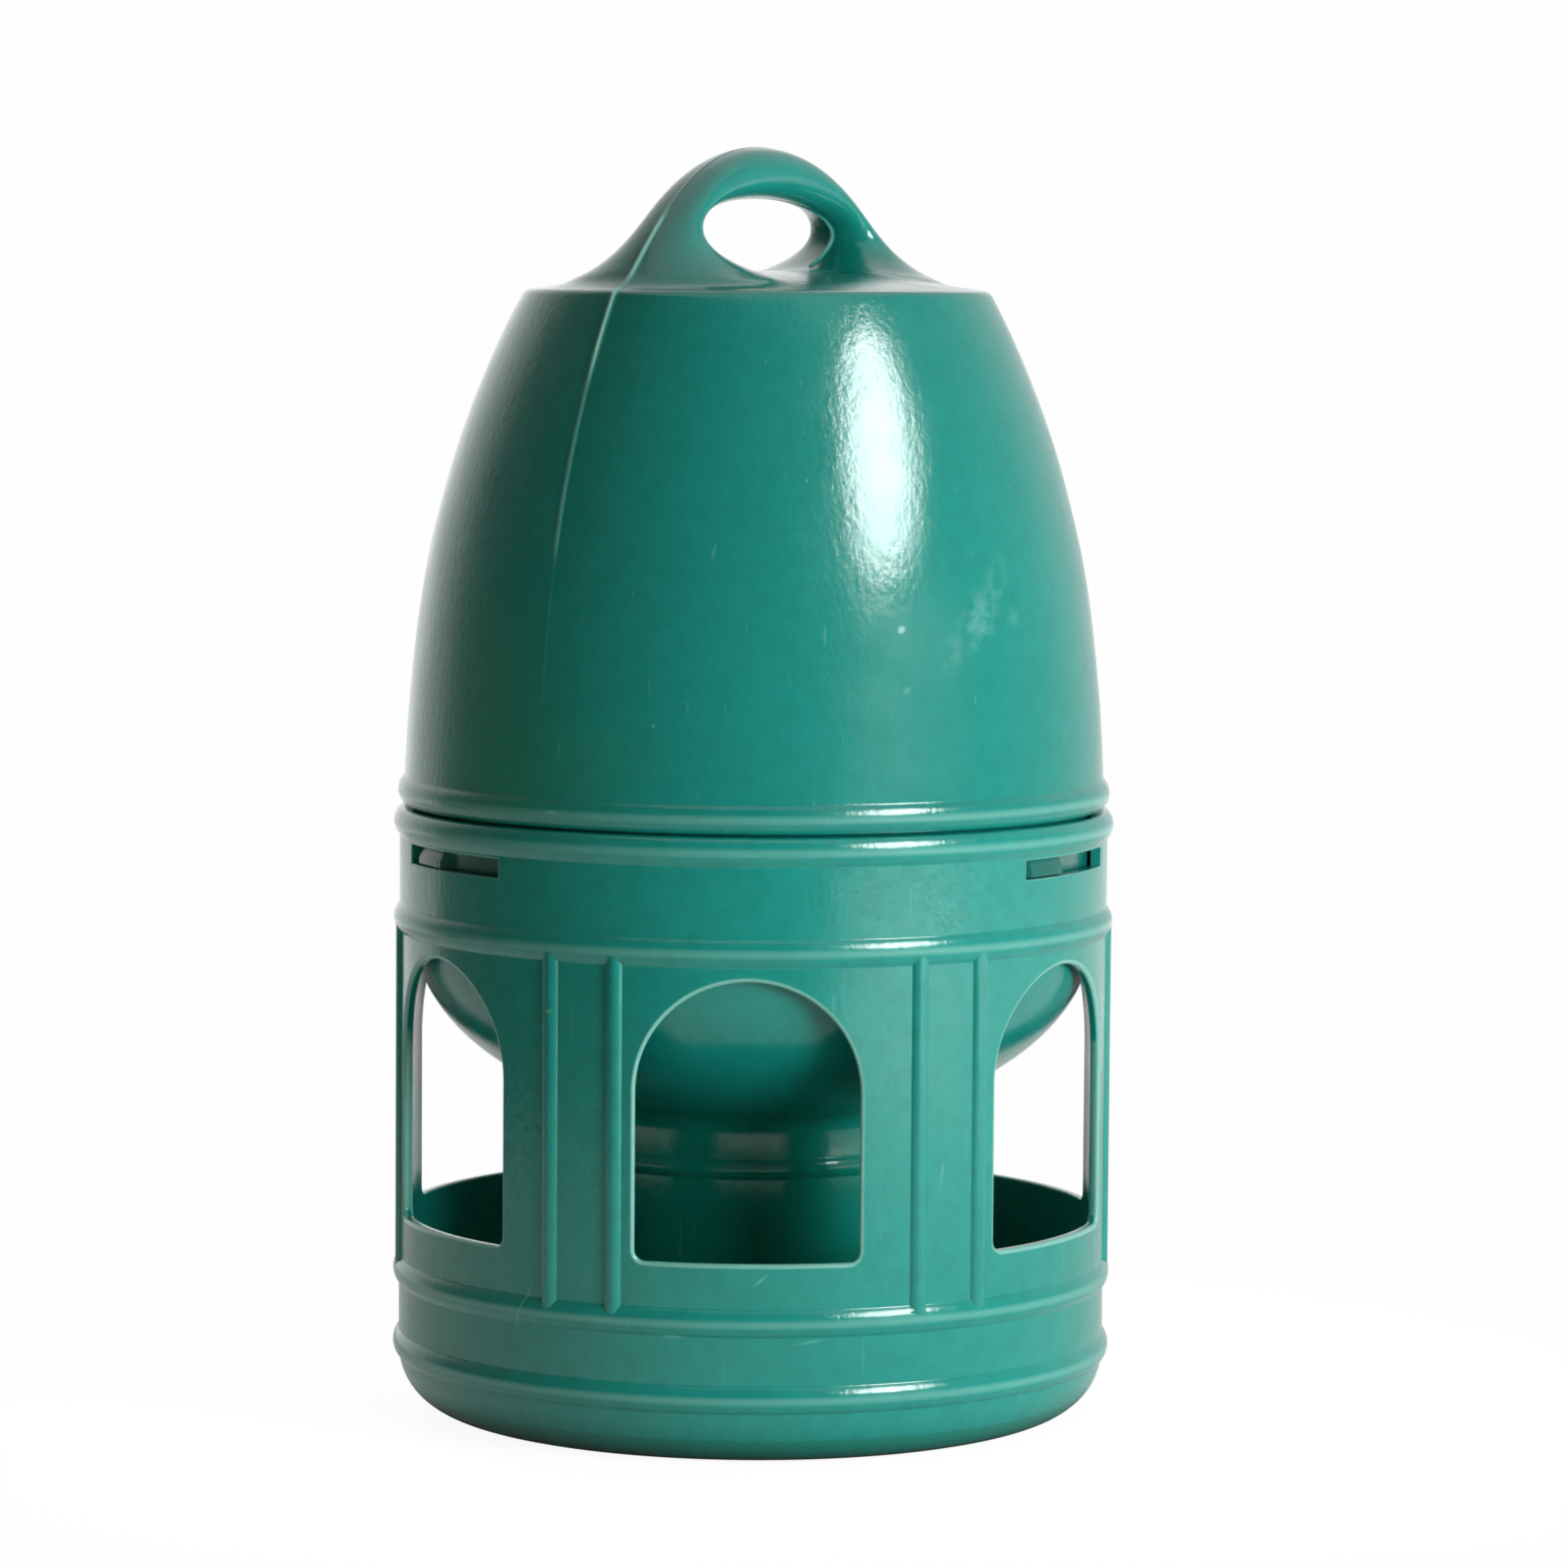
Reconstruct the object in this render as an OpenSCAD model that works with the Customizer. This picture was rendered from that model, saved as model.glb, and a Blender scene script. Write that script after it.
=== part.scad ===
// Poultry and pigeon drinker in two plastic mouldings. A dome-shaped reservoir with a loop handle
// stands mouth down in a windowed base, and three lugs on its skirt lock in slots under the rim.
// Millimetres, +Z up. The origin is on the ground at the centre, and the front window faces -Y.

/* [Base wall] */
// Outside diameter of the wall
base_d = 160; // [150:1:176]
// Thickness of the wall
base_wall = 2.4; // [2:0.1:3]
// Height of the rim, on which the reservoir sits
base_h = 137; // [134:1:150]
// Radius of the rounded bottom edge
bottom_round = 14; // [10:0.5:16]
// Thickness of the tray's floor
floor_t = 2.6; // [2:0.1:4]
// Depth of the recess under the floor, inside the ring it stands on
foot_recess = 1.5; // [1:0.1:2.5]
// Width of the ring it stands on
foot_ring_w = 4; // [3:0.5:8]

/* [Beads] */
// Height of each bead that runs round the object
bead_h = 6; // [5:0.25:7]
// How far a bead stands out from the wall
bead_out = 1.3; // [0.8:0.1:1.8]
// Middle of the lowest bead above the ground
low_bead_z = 15.3; // [14:0.1:18]
// Middle of the bead below the windows
sill_bead_z = 32; // [28:0.5:36]
// Middle of the bead above the windows, down from the rim
arch_bead_drop = 25; // [20:0.5:26]
// Flat left between a bead and the rim or shoulder that it runs along
bead_land = 0.3; // [0.2:0.05:0.6]

/* [Windows] */
// Number of windows
window_count = 6; // [4:1:7]
// Width of a window
window_w = 50.6; // [36:0.2:54]
// Height of the sill above the ground
sill_z = 43.9; // [38:0.1:50]
// Top of the windows' arches, down from the rim
arch_drop = 30.1; // [29.5:0.1:41]
// Radius of a window's lower corners
corner_r = 2.3; // [1:0.1:5]

/* [Ribs] */
// Width of an upright rib
rib_w = 4; // [3:0.25:5]
// How far a rib stands out from the wall
rib_out = 1.1; // [0.6:0.1:1.6]
// Distance between the two ribs on a pillar, middle to middle
rib_gap = 15.6; // [10:0.2:17]
// Distance of the pair's middle from the pillar's middle
rib_shift = 4.4; // [0:0.2:5]

/* [Bayonet] */
// Number of lugs
lug_count = 3; // [2:1:4]
// Angle that a slot spans
slot_angle = 28; // [24:1:32]
// Height of a slot
slot_h = 4.2; // [3.5:0.1:5]
// Middle of a slot, down from the rim
slot_drop = 9.2; // [8.8:0.1:12]
// Angle that a lug spans
lug_angle = 12.6; // [10:0.2:12.8]
// How far a lug reaches into the base's wall
lug_grip = 1.5; // [1:0.1:1.6]
// Clearance round a lug
lug_gap = 0.3; // [0.2:0.05:0.5]
// Angle over which each end of a lug slopes down to the skirt
lug_ramp = 1.8; // [0.6:0.2:4]

/* [Reservoir] */
// How far the dome's foot stands in from the outside of the base
dome_setback = 0.8; // [0.4:0.1:1.4]
// Diameter of the crisp edge round the dome's top
top_d = 104.5; // [96:0.5:116]
// Height of that edge above the ground
top_z = 253; // [235:1:275]
// Rise of the crowned top inside that edge
top_crown = 4.5; // [2:0.5:8]
// Size of the small round on that edge
top_edge = 1.2; // [0.4:0.1:3]
// Thickness of the reservoir's wall
shell_wall = 2.2; // [1.6:0.1:3]
// Gap between the base's rim and the shoulder that sits on it
seat_gap = 0.4; // [0.3:0.05:0.8]
// Gap between the skirt and the inside of the base
skirt_gap = 0.9; // [0.5:0.1:1.2]
// Where the skirt starts to round in, down from the base's rim
skirt_h = 28.5; // [21:0.5:33]
// Depth of the rounded underside
bowl_depth = 44; // [40:1:48]

/* [Neck] */
// Outside diameter of the neck
neck_d = 76; // [60:1:90]
// Height of the neck's mouth, which sets the water level
mouth_z = 30; // [22:1:36]
// Height of the middle of the neck's bead
neck_bead_z = 59.3; // [50:0.1:60]
// Height of the neck's bead
neck_bead_h = 4.4; // [3:0.2:6]
// How far the neck's bead stands out
neck_bead_out = 1; // [0.6:0.1:1.6]
// Size of the fillet between the underside and the neck
neck_fillet = 4; // [2:0.5:6]

/* [Handle] */
// Direction of the handle's front foot, from the front towards the right
handle_turn = -36.5; // [-90:0.5:90]
// Rise of the handle's top over the edge round the dome's top
handle_rise = 32; // [23:1:57]
// Thickness of the handle at its top
grip_t = 11.3; // [8:0.1:16]
// Width of the handle at its top
grip_w = 14; // [10:0.5:20]
// How wide the opening under the handle is drawn
grip_l = 58; // [48:1:62]
// Width of the handle's feet where they sink into the top
foot_w = 70; // [44:1:72]
// Distance of the feet's inner edges from the middle of the top
foot_in = 12; // [6:1:18]
// Depth that the feet's edges lie under the top's surface
foot_sink = 0.3; // [0.2:0.1:0.8]

/* [Hidden] */
$fn = 96;

green = [0.07, 0.43, 0.37];
// Steps along each curved outline
curve_steps = 24;

base_r = base_d / 2;
base_bore = base_r - base_wall;
floor_z = foot_recess + floor_t;
rim_bead_z = base_h - bead_land - bead_h / 2;
arch_bead_z = base_h - arch_bead_drop;
arch_z = base_h - arch_drop;
window_step = 360 / window_count;
// The windows and the slots as the photograph shows them, from the front towards the right
window_turn = -0.7;
slot_turn = 62;
slot_step = 360 / lug_count;

skirt_r = base_bore - skirt_gap;
shoulder_z = base_h + seat_gap;
dome_bead_z = shoulder_z + bead_land + bead_h / 2;
dome_r = base_r - dome_setback;
bowl_z = base_h - skirt_h;
top_r = top_d / 2;
neck_r = neck_d / 2;
slot_z = base_h - slot_drop;
lug_h = slot_h - 2 * lug_gap;
lug_r = base_bore + lug_grip;
entry_r = lug_r + lug_gap;
// Angle left free between a locked lug and the slot's end, and at each side of a recess
lug_free = 0.4;
lug_turn = slot_turn - slot_angle / 2 + lug_free + lug_angle / 2;
twist = slot_angle / 2;
entry_turn = lug_turn + twist;
entry_angle = lug_angle + 2 * lug_free;

// The section of a round bead on a wall of radius r, as a segment of a circle whose back is
// sunk a little into the wall
module bead_section(r, z, height, out) {
    bead_r = (pow(height / 2, 2) + pow(out, 2)) / (2 * out);
    back_h = height + bead_land;
    intersection() {
        translate([r + out - bead_r, z]) circle(r = bead_r);
        translate([r - out / 4, z - back_h / 2]) square([2 * out, back_h]);
    }
}

// A point on a cubic curve that is pulled towards its two middle points
function curve(p, t) =
    pow(1 - t, 3) * p[0] + 3 * pow(1 - t, 2) * t * p[1] + 3 * (1 - t) * pow(t, 2) * p[2] + pow(t, 3) * p[3];

// Base: tray, windowed wall and rim

// Half section of the base, with a rounded bottom edge inside and out
module base_section() {
    inner_round = bottom_round - base_wall;
    difference() {
        union() {
            translate([base_r - bottom_round, bottom_round]) circle(r = bottom_round);
            square([base_r - bottom_round, bottom_round]);
            translate([0, bottom_round]) square([base_r, base_h - bottom_round]);
            bead_section(base_r, low_bead_z, bead_h, bead_out);
            bead_section(base_r, sill_bead_z, bead_h, bead_out);
            bead_section(base_r, arch_bead_z, bead_h, bead_out);
            bead_section(base_r, rim_bead_z, bead_h, bead_out);
        }
        translate([base_bore - inner_round, floor_z + inner_round]) circle(r = inner_round);
        translate([-1, floor_z]) square([base_bore - inner_round + 1, inner_round + 1]);
        translate([-1, floor_z + inner_round]) square([base_bore + 1, base_h]);
        translate([-1, -1]) square([base_r - bottom_round - foot_ring_w + 1, foot_recess + 1]);
    }
}

// Outline of a window: a round arch over upright sides, with small rounds at the sill
module window_outline() {
    half = window_w / 2;
    translate([0, arch_z - half]) circle(r = half);
    translate([-half, sill_z + corner_r]) square([window_w, arch_z - half - sill_z - corner_r]);
    translate([corner_r - half, sill_z]) square([window_w - 2 * corner_r, 2 * corner_r]);
    for (side = [-1, 1])
        translate([side * (half - corner_r), sill_z + corner_r]) circle(r = corner_r);
}

module windows() {
    for (i = [0 : window_count - 1])
        rotate(window_turn + i * window_step)
            translate([0, -base_r / 2, 0])
                rotate([90, 0, 0]) linear_extrude(base_r) window_outline();
}

// Two round-backed ribs on each pillar, from the bead over the windows to the one below them
module ribs() {
    rib_r = (pow(rib_w / 2, 2) + pow(rib_out, 2)) / (2 * rib_out);
    for (i = [0 : window_count - 1], side = [-1, 1]) {
        along = rib_shift + side * rib_gap / 2;
        turn = window_turn + (i + 0.5) * window_step + along / base_r * 180 / PI;
        rotate(turn)
            translate([0, 0, sill_bead_z])
                linear_extrude(arch_bead_z - sill_bead_z)
                    difference() {
                        translate([0, rib_r - base_r - rib_out]) circle(r = rib_r);
                        circle(r = base_r - rib_out / 2);
                    }
    }
}

// A ring sector from radius r0 to r1, centred on the direction turn from the front
module sector(r0, r1, z, height, turn, angle) {
    rotate(turn - 90 - angle / 2)
        rotate_extrude(angle = angle) translate([r0, z]) square([r1 - r0, height]);
}

// Each slot runs right through the wall. A recess inside the rim lets a lug down into its far half.
module slots() {
    for (i = [0 : lug_count - 1]) {
        turn = i * slot_step;
        sector(base_bore - 1, base_r + 1, slot_z - slot_h / 2, slot_h, slot_turn + turn, slot_angle);
        sector(base_bore - 1, entry_r, slot_z, base_h - slot_z + 1, entry_turn + turn, entry_angle);
    }
}

module drinking_base() {
    color(green)
    difference() {
        union() {
            rotate(window_turn - 90) rotate_extrude() base_section();
            ribs();
        }
        windows();
        slots();
    }
}

// Reservoir: dome, skirt, rounded underside and neck in one hollow moulding

// Radius of the dome a share t of the way up: a slight lean all the way, and a round that
// quickens towards the top
lean_share = 0.17;
round_power = 2.6;
function dome_at(t) = dome_r - (dome_r - top_r) * (lean_share * t + (1 - lean_share) * pow(t, round_power));

// Height of the crowned top at a radius
function crown_at(r) = top_z + top_crown * (1 - pow(r / top_r, 2));

// Points that round a corner off, from just after its start to its end
round_steps = 5;
function rounded(start, corner, end) =
    [for (i = [1 : round_steps])
        let (t = i / round_steps)
        pow(1 - t, 2) * start + 2 * (1 - t) * t * corner + t * t * end];

// Outline of the reservoir, set in by a distance: nothing for its outside, its wall for its
// inside. It runs from the neck's mouth up the rounded underside, the skirt and the dome.
module reservoir_outline(inset) {
    neck_side = neck_r - inset;
    bowl_r = skirt_r - inset;
    bowl_fall = bowl_depth - inset;
    mouth = mouth_z - (inset > 0 ? 1 : 0);
    function bowl_at(r) = [r, bowl_z - bowl_fall * sqrt(1 - pow(r / bowl_r, 2))];
    bowl_start = acos((neck_side + neck_fillet) / bowl_r);
    neck_corner = bowl_at(neck_side);
    dome_low = shoulder_z + inset;
    dome_h = top_z - inset - dome_low;
    rim_r = top_r - inset;
    function top_at(r) = [r, crown_at(r * top_r / rim_r) - inset];
    dome_end = 1 - top_edge / dome_h;
    top_steps = curve_steps / 3;
    polygon(concat(
        [[0, mouth], [neck_side, mouth], neck_corner - [0, neck_fillet]],
        rounded(neck_corner - [0, neck_fillet], neck_corner, bowl_at(neck_side + neck_fillet)),
        [for (i = [1 : curve_steps])
            let (a = bowl_start * (1 - i / curve_steps))
            [bowl_r * cos(a), bowl_z - bowl_fall * sin(a)]],
        [[bowl_r, dome_low]],
        [for (i = [0 : curve_steps])
            let (t = dome_end * i / curve_steps)
            [dome_at(t) - inset, dome_low + dome_h * t]],
        rounded([dome_at(dome_end) - inset, dome_low + dome_h * dome_end], [rim_r, top_z - inset],
                top_at(rim_r - top_edge)),
        [for (i = [1 : top_steps]) top_at((rim_r - top_edge) * (1 - i / top_steps))]
    ));
}

module reservoir_section() {
    reservoir_outline(0);
    dome_bead_r = dome_at((dome_bead_z - shoulder_z) / (top_z - shoulder_z));
    bead_section(dome_bead_r, dome_bead_z, bead_h, bead_out);
    bead_section(neck_r, neck_bead_z, neck_bead_h, neck_bead_out);
}

// Lugs on the skirt, each with both ends sloped
module lugs() {
    lug_steps = 8;
    half = lug_angle / 2;
    top_half = half - lug_ramp;
    function at(r, angle) = [r * sin(angle), -r * cos(angle)];
    for (i = [0 : lug_count - 1])
        rotate(lug_turn + i * slot_step)
            translate([0, 0, slot_z - lug_h / 2])
                linear_extrude(lug_h)
                    polygon(concat(
                        [at(skirt_r - 1, -half), at(skirt_r, -half)],
                        [for (k = [0 : lug_steps]) at(lug_r, top_half * (2 * k / lug_steps - 1))],
                        [at(skirt_r, half), at(skirt_r - 1, half)]));
}

// Loop handle, lofted between its outer outline and the outline of the opening under it. Each
// ring is an ellipse across both outlines, upright at the grip. Towards the feet the rings tip
// over, widen ever faster and settle on the crowned top, so that the feet run out into it.
ring_points = 28;
loop_steps = 56;
// How late the feet flare: their width grows with this power of the way down
flare_power = 7.5;
// How late the rings settle on the top
settle_power = 12;
handle_z = top_z + handle_rise;
opening_h = handle_rise - grip_t;
outer_curve = [[0, handle_z], [0.46 * top_r, handle_z], [0.65 * top_r, top_z + 0.53 * handle_rise],
               [top_r - top_edge / 2, top_z - top_edge / 2]];
inner_curve = [[0, top_z + opening_h], [0.33 * grip_l, top_z + opening_h],
               [0.8 * grip_l, top_z + 0.63 * opening_h], [foot_in, crown_at(foot_in) - foot_sink]];

function ring_width(q) = (grip_w + (foot_w - grip_w) * pow(q, flare_power)) / 2;

// Share of the way down a leg at s, with the rings closer together towards the foot
function way_down(s) = s + 0.8 * s * (1 - s);

// One ring of the handle, at s from -1 at the front foot to 1 at the rear one
function ring(s) =
    let (q = min(way_down(abs(s)), 1), settled = pow(q, settle_power),
         outer = curve(outer_curve, q), inner = curve(inner_curve, q),
         mid = (outer + inner) / 2, half = (outer - inner) / 2)
    [for (k = [0 : ring_points - 1])
        let (a = 360 * k / ring_points, p = mid + half * cos(a), across = ring_width(q) * sin(a),
             seat = crown_at(norm([p[0], across])) - foot_sink)
        [sign(s) * p[0], across, p[1] * (1 - settled) + seat * settled]];

module handle() {
    rings = [for (i = [0 : loop_steps]) ring(2 * i / loop_steps - 1)];
    foot_mid = (outer_curve[3][0] + foot_in) / 2;
    foot_bottom = top_z - shell_wall / 2;
    n = ring_points;
    last = loop_steps * n;
    sides = [for (i = [0 : loop_steps - 1], k = [0 : n - 1])
        [i * n + k, i * n + (k + 1) % n, (i + 1) * n + (k + 1) % n, (i + 1) * n + k]];
    soles = [for (k = [0 : n - 1]) each [
        [(k + 1) % n, k, last + n],
        [last + k, last + (k + 1) % n, last + n + 1]]];
    rotate(handle_turn + 90)
        polyhedron(
            points = concat([for (r = rings, p = r) p], [[-foot_mid, 0, foot_bottom], [foot_mid, 0, foot_bottom]]),
            faces = concat(sides, soles), convexity = 4);
}

module reservoir() {
    color(green)
    difference() {
        union() {
            rotate_extrude() reservoir_section();
            lugs();
            handle();
        }
        rotate_extrude() reservoir_outline(shell_wall);
    }
}

drinking_base();
reservoir();
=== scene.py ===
# %% [markdown]
# This lesson builds a poultry drinker from two plastic mouldings: a round base with arched windows,
# and a domed reservoir that stands in it neck down and carries a loop handle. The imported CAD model
# gives the frame, so each piece is made where the real one is, and only then gets its finish.

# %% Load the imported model
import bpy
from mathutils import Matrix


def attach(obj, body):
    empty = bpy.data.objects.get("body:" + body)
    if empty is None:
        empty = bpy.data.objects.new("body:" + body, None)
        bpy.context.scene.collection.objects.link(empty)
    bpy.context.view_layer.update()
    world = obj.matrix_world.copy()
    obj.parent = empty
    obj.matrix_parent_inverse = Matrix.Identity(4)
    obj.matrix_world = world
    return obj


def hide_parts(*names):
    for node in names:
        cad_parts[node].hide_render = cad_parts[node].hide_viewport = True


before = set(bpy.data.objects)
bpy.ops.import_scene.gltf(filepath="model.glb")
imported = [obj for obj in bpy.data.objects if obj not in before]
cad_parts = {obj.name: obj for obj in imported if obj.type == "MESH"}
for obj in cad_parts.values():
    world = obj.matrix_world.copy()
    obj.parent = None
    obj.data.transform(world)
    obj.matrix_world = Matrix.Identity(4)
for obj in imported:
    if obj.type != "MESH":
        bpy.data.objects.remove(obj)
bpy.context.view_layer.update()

# %% Modules and units
import math

import bmesh
import bpy
import numpy as np
from mathutils import Matrix, Quaternion, Vector

# Shapes are worked out in millimetres, as on a drawing, and scaled to metres when they are done
MM = 0.001
scene = bpy.context.scene

# %% [markdown]
# A photograph is matched from the camera inwards. This one was taken with a long lens from about
# one and a half metres, at the height of the handle, so the rims show as flat ellipses. The camera
# is built from its three directions, because that keeps its slight tilt and roll easy to read.

# %% Camera
PHOTO_SIZE = 1569
camera_distance = 1.3843
camera_height = 0.2596
focal_pixels = 6144.5
pitch, yaw, roll = -0.0849, 0.0051, 0.0074

camera_data = bpy.data.cameras.new("photo_camera")
camera_data.sensor_width = 36
camera_data.lens = focal_pixels * camera_data.sensor_width / PHOTO_SIZE
camera = bpy.data.objects.new("photo_camera", camera_data)
scene.collection.objects.link(camera)
scene.camera = camera

forward = Vector((math.sin(yaw) * math.cos(pitch), math.cos(yaw) * math.cos(pitch),
                  math.sin(pitch)))
level_right = Vector((math.cos(yaw), -math.sin(yaw), 0))
level_up = level_right.cross(forward)
right = math.cos(roll) * level_right + math.sin(roll) * level_up
up = math.cos(roll) * level_up - math.sin(roll) * level_right
facing = Matrix((right, up, -forward)).transposed().to_4x4()
camera.matrix_world = Matrix.Translation((-0.0003, -camera_distance, camera_height)) @ facing
print("lens in mm:", round(camera_data.lens, 1))

# %% [markdown]
# Every tree of nodes below, for shapes and for finishes alike, is written with two small helpers.
# One adds a node and fills in its inputs, either with values or with wires from other nodes. The
# other lets a tree grow a shape on a start mesh and hands back the result as a plain mesh.


# %% Helpers for trees of nodes
def add(tree, kind, inputs=(), **settings):
    """Adds a node: settings are its options, and inputs are values or sockets to wire in."""
    made = tree.nodes.new(kind)
    for name, value in settings.items():
        setattr(made, name, value)
    for key, value in dict(inputs).items():
        if isinstance(value, bpy.types.NodeSocket):
            tree.links.new(value, made.inputs[key])
        else:
            made.inputs[key].default_value = value
    return made


def new_tree(name, **sockets):
    """A geometry tree with named inputs, and its group input node."""
    tree = bpy.data.node_groups.new(name, "GeometryNodeTree")
    tree.interface.new_socket("Geometry", in_out="INPUT", socket_type="NodeSocketGeometry")
    tree.interface.new_socket("Geometry", in_out="OUTPUT", socket_type="NodeSocketGeometry")
    for socket, kind in sockets.items():
        tree.interface.new_socket(
            socket.replace("_", " "), in_out="INPUT", socket_type="NodeSocket" + kind)
    return tree, add(tree, "NodeGroupInput")


def finish_tree(tree, geometry, material):
    """Ends a tree in real geometry with its material."""
    real = add(tree, "GeometryNodeRealizeInstances", {"Geometry": geometry})
    painted = add(tree, "GeometryNodeSetMaterial",
                  {"Geometry": real.outputs[0], "Material": material})
    add(tree, "NodeGroupOutput", {"Geometry": painted.outputs[0]})


def new_object(name, mesh):
    """An object in the scene that holds a mesh."""
    made = bpy.data.objects.new(name, mesh)
    scene.collection.objects.link(made)
    return made


def settle(thing):
    """Turns what an object's modifiers make of it into a plain mesh, and takes them off."""
    bpy.context.view_layer.update()
    shaped = thing.evaluated_get(bpy.context.evaluated_depsgraph_get())
    mesh = bpy.data.meshes.new_from_object(shaped)
    thing.modifiers.clear()
    thing.data = mesh
    return thing


def grow(thing, tree, **values):
    """Runs a geometry tree on an object. Values are given by the names of the tree's inputs."""
    modifier = thing.modifiers.new(tree.name, "NODES")
    modifier.node_group = tree
    for item in tree.interface.items_tree:
        key = item.name.replace(" ", "_")
        if item.in_out == "INPUT" and key in values:
            modifier[item.identifier] = values[key]
    return settle(thing)


def mesh_from(name, points, faces):
    """A mesh from points in millimetres, with its faces turned outwards."""
    mesh = bpy.data.meshes.new(name)
    mesh.from_pydata([tuple(p) for p in points], [], faces)
    build = bmesh.new()
    build.from_mesh(mesh)
    bmesh.ops.recalc_face_normals(build, faces=build.faces)
    build.to_mesh(mesh)
    build.free()
    return mesh


def prism(name, outline, ends):
    """A mesh that repeats an outline at each of its ends and closes it at the first and last.
    Each end is a function that places a point of the outline."""
    count = len(outline)
    points = [place(*p) for place in ends for p in outline]
    faces = [
        [row * count + k, row * count + (k + 1) % count,
         (row + 1) * count + (k + 1) % count, (row + 1) * count + k]
        for row in range(len(ends) - 1) for k in range(count)
    ]
    last = (len(ends) - 1) * count
    faces += [list(range(count)), list(range(last, last + count))]
    return mesh_from(name, points, faces)


print("helpers ready")

# %% [markdown]
# Both mouldings are bodies of revolution at heart, so each begins as an outline: distance from the
# axis against height. Moulded plastic has no truly sharp corner. A helper therefore rounds every
# corner of an outline a little, because it is these small rounds that catch the light.


# %% Helpers for outlines
def arc(centre_r, centre_z, radius, start, end, steps):
    """Points on a circle, from one angle to another, in degrees."""
    angles = np.radians(np.linspace(start, end, steps + 1))
    return [(centre_r + radius * math.cos(a), centre_z + radius * math.sin(a)) for a in angles]


def bead(r, z, height, out, steps=12):
    """A round bead on a wall, from its foot to its top."""
    bead_radius = ((height / 2) ** 2 + out ** 2) / (2 * out)
    reach = math.degrees(math.asin(height / 2 / bead_radius))
    return arc(r + out - bead_radius, z, bead_radius, -reach, reach, steps)


def soften(points, size, steps=3, sharpest=20):
    """Rounds each corner of an open outline that turns by more than some degrees."""
    soft = [points[0]]
    for before, here, after in zip(points, points[1:], points[2:]):
        back, on = Vector(before) - Vector(here), Vector(after) - Vector(here)
        if min(back.length, on.length) < 1e-6:
            continue
        if 180 - math.degrees(back.angle(on)) < sharpest:
            soft.append(here)
            continue
        cut = min(size, 0.45 * back.length, 0.45 * on.length)
        start, end = Vector(here) + back.normalized() * cut, Vector(here) + on.normalized() * cut
        for k in range(steps + 1):
            t = k / steps
            soft.append(tuple((1 - t) ** 2 * start + 2 * t * (1 - t) * Vector(here) + t * t * end))
    return soft + [points[-1]]


print("a bead has", len(bead(80, 0, 6, 1.3)), "points")

# %% [markdown]
# The base is a tray with a wall. Its outline runs from the middle of the underside, over the ring
# it stands on, up the outside with its four beads, over the rim and down the inside to the floor.
# The rim's outer edge slopes back a little, so the seam under the dome shows as a dark line.

# %% Sizes and outline of the base
base_r, base_wall, base_h = 80.0, 2.4, 137.0
base_bore = base_r - base_wall
bottom_round, foot_recess, foot_ring_w, floor_t = 14.0, 1.5, 4.0, 2.6
bead_h, bead_out, bead_land, seam_slope = 6.0, 1.3, 0.3, 0.8
low_bead_z, sill_bead_z, arch_bead_z = 15.3, 32.0, 112.0
rim_bead_z = base_h - bead_land - bead_h / 2
floor_z = foot_recess + floor_t
foot_in = base_r - bottom_round - foot_ring_w
inner_round = bottom_round - base_wall
round_end = math.degrees(math.asin((low_bead_z - bead_h / 2 - bottom_round) / bottom_round))

base_outline = [(0, foot_recess), (foot_in, foot_recess), (foot_in, 0)]
base_outline += arc(base_r - bottom_round, bottom_round, bottom_round, -90, round_end, 20)
for bead_z in (low_bead_z, sill_bead_z, arch_bead_z, rim_bead_z):
    base_outline += bead(base_r, bead_z, bead_h, bead_out)
base_outline += [(base_r - seam_slope, base_h), (base_bore, base_h)]
base_outline += arc(base_bore - inner_round, floor_z + inner_round, inner_round, 0, -90, 12)
base_outline += [(0, floor_z)]
base_outline = soften(base_outline, 0.5)
print("base outline:", len(base_outline), "points")

# %% [markdown]
# Cutting windows into a round wall leaves ragged edges, which spoil its reflections. A tinsmith
# cuts them while the sheet is flat and then rolls it, and so does this script. The outline is drawn
# out into a straight strip as long as the wall is round. In the strip x runs along the wall, y into
# it and z up, and y is 0 at the outer face. The strip has a cut through the middle of each window,
# so that no face has a hole.

# %% The wall as a flat strip
window_count, lug_count = 6, 3
window_turn, slot_turn = -0.7, 62.0
rib_gap, rib_shift = 15.6, 4.4
pitch_angle = 360 / window_count
degree = math.radians(base_r)
seam_turn = window_turn + pitch_angle / 2 + rib_shift / degree
strip_length = 360 * degree
window_pitch = pitch_angle * degree
first_window = (window_turn + pitch_angle - seam_turn) * degree
cuts = [0] + [first_window + k * window_pitch for k in range(window_count)] + [strip_length]


def strip_place(u):
    """Places a point of the outline in the strip, at a distance along it."""
    return lambda r, z: (u, base_r - r, z)


strip = new_object("wall_strip", prism("wall_strip", base_outline, [strip_place(u) for u in cuts]))
print("strip length in mm:", round(strip_length, 1))

# %% [markdown]
# A window is a round arch over upright sides. The real ones are cut straight in from the front, so
# in the flat strip a window is a little wider at the inside of the wall than at its outside. Slots
# and lug recesses follow the wall, which makes them plain boxes here. A rib is a long bar with a
# rounded back whose ends run into the beads.

# %% Window, slot, recess and rib
window_clear, sill_z, arch_z, corner_r = 48.4, 45.0, 105.8, 2.3
window_half = window_clear / 2


def window_outline():
    """The window's outline seen from the front."""
    corner = (window_half - corner_r, sill_z + corner_r)
    side = arc(*corner, corner_r, -90, 0, 6) + arc(0, arch_z - window_half, window_half, 0, 90, 30)
    return side + [(-x, z) for x, z in reversed(side[:-1])]


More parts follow.
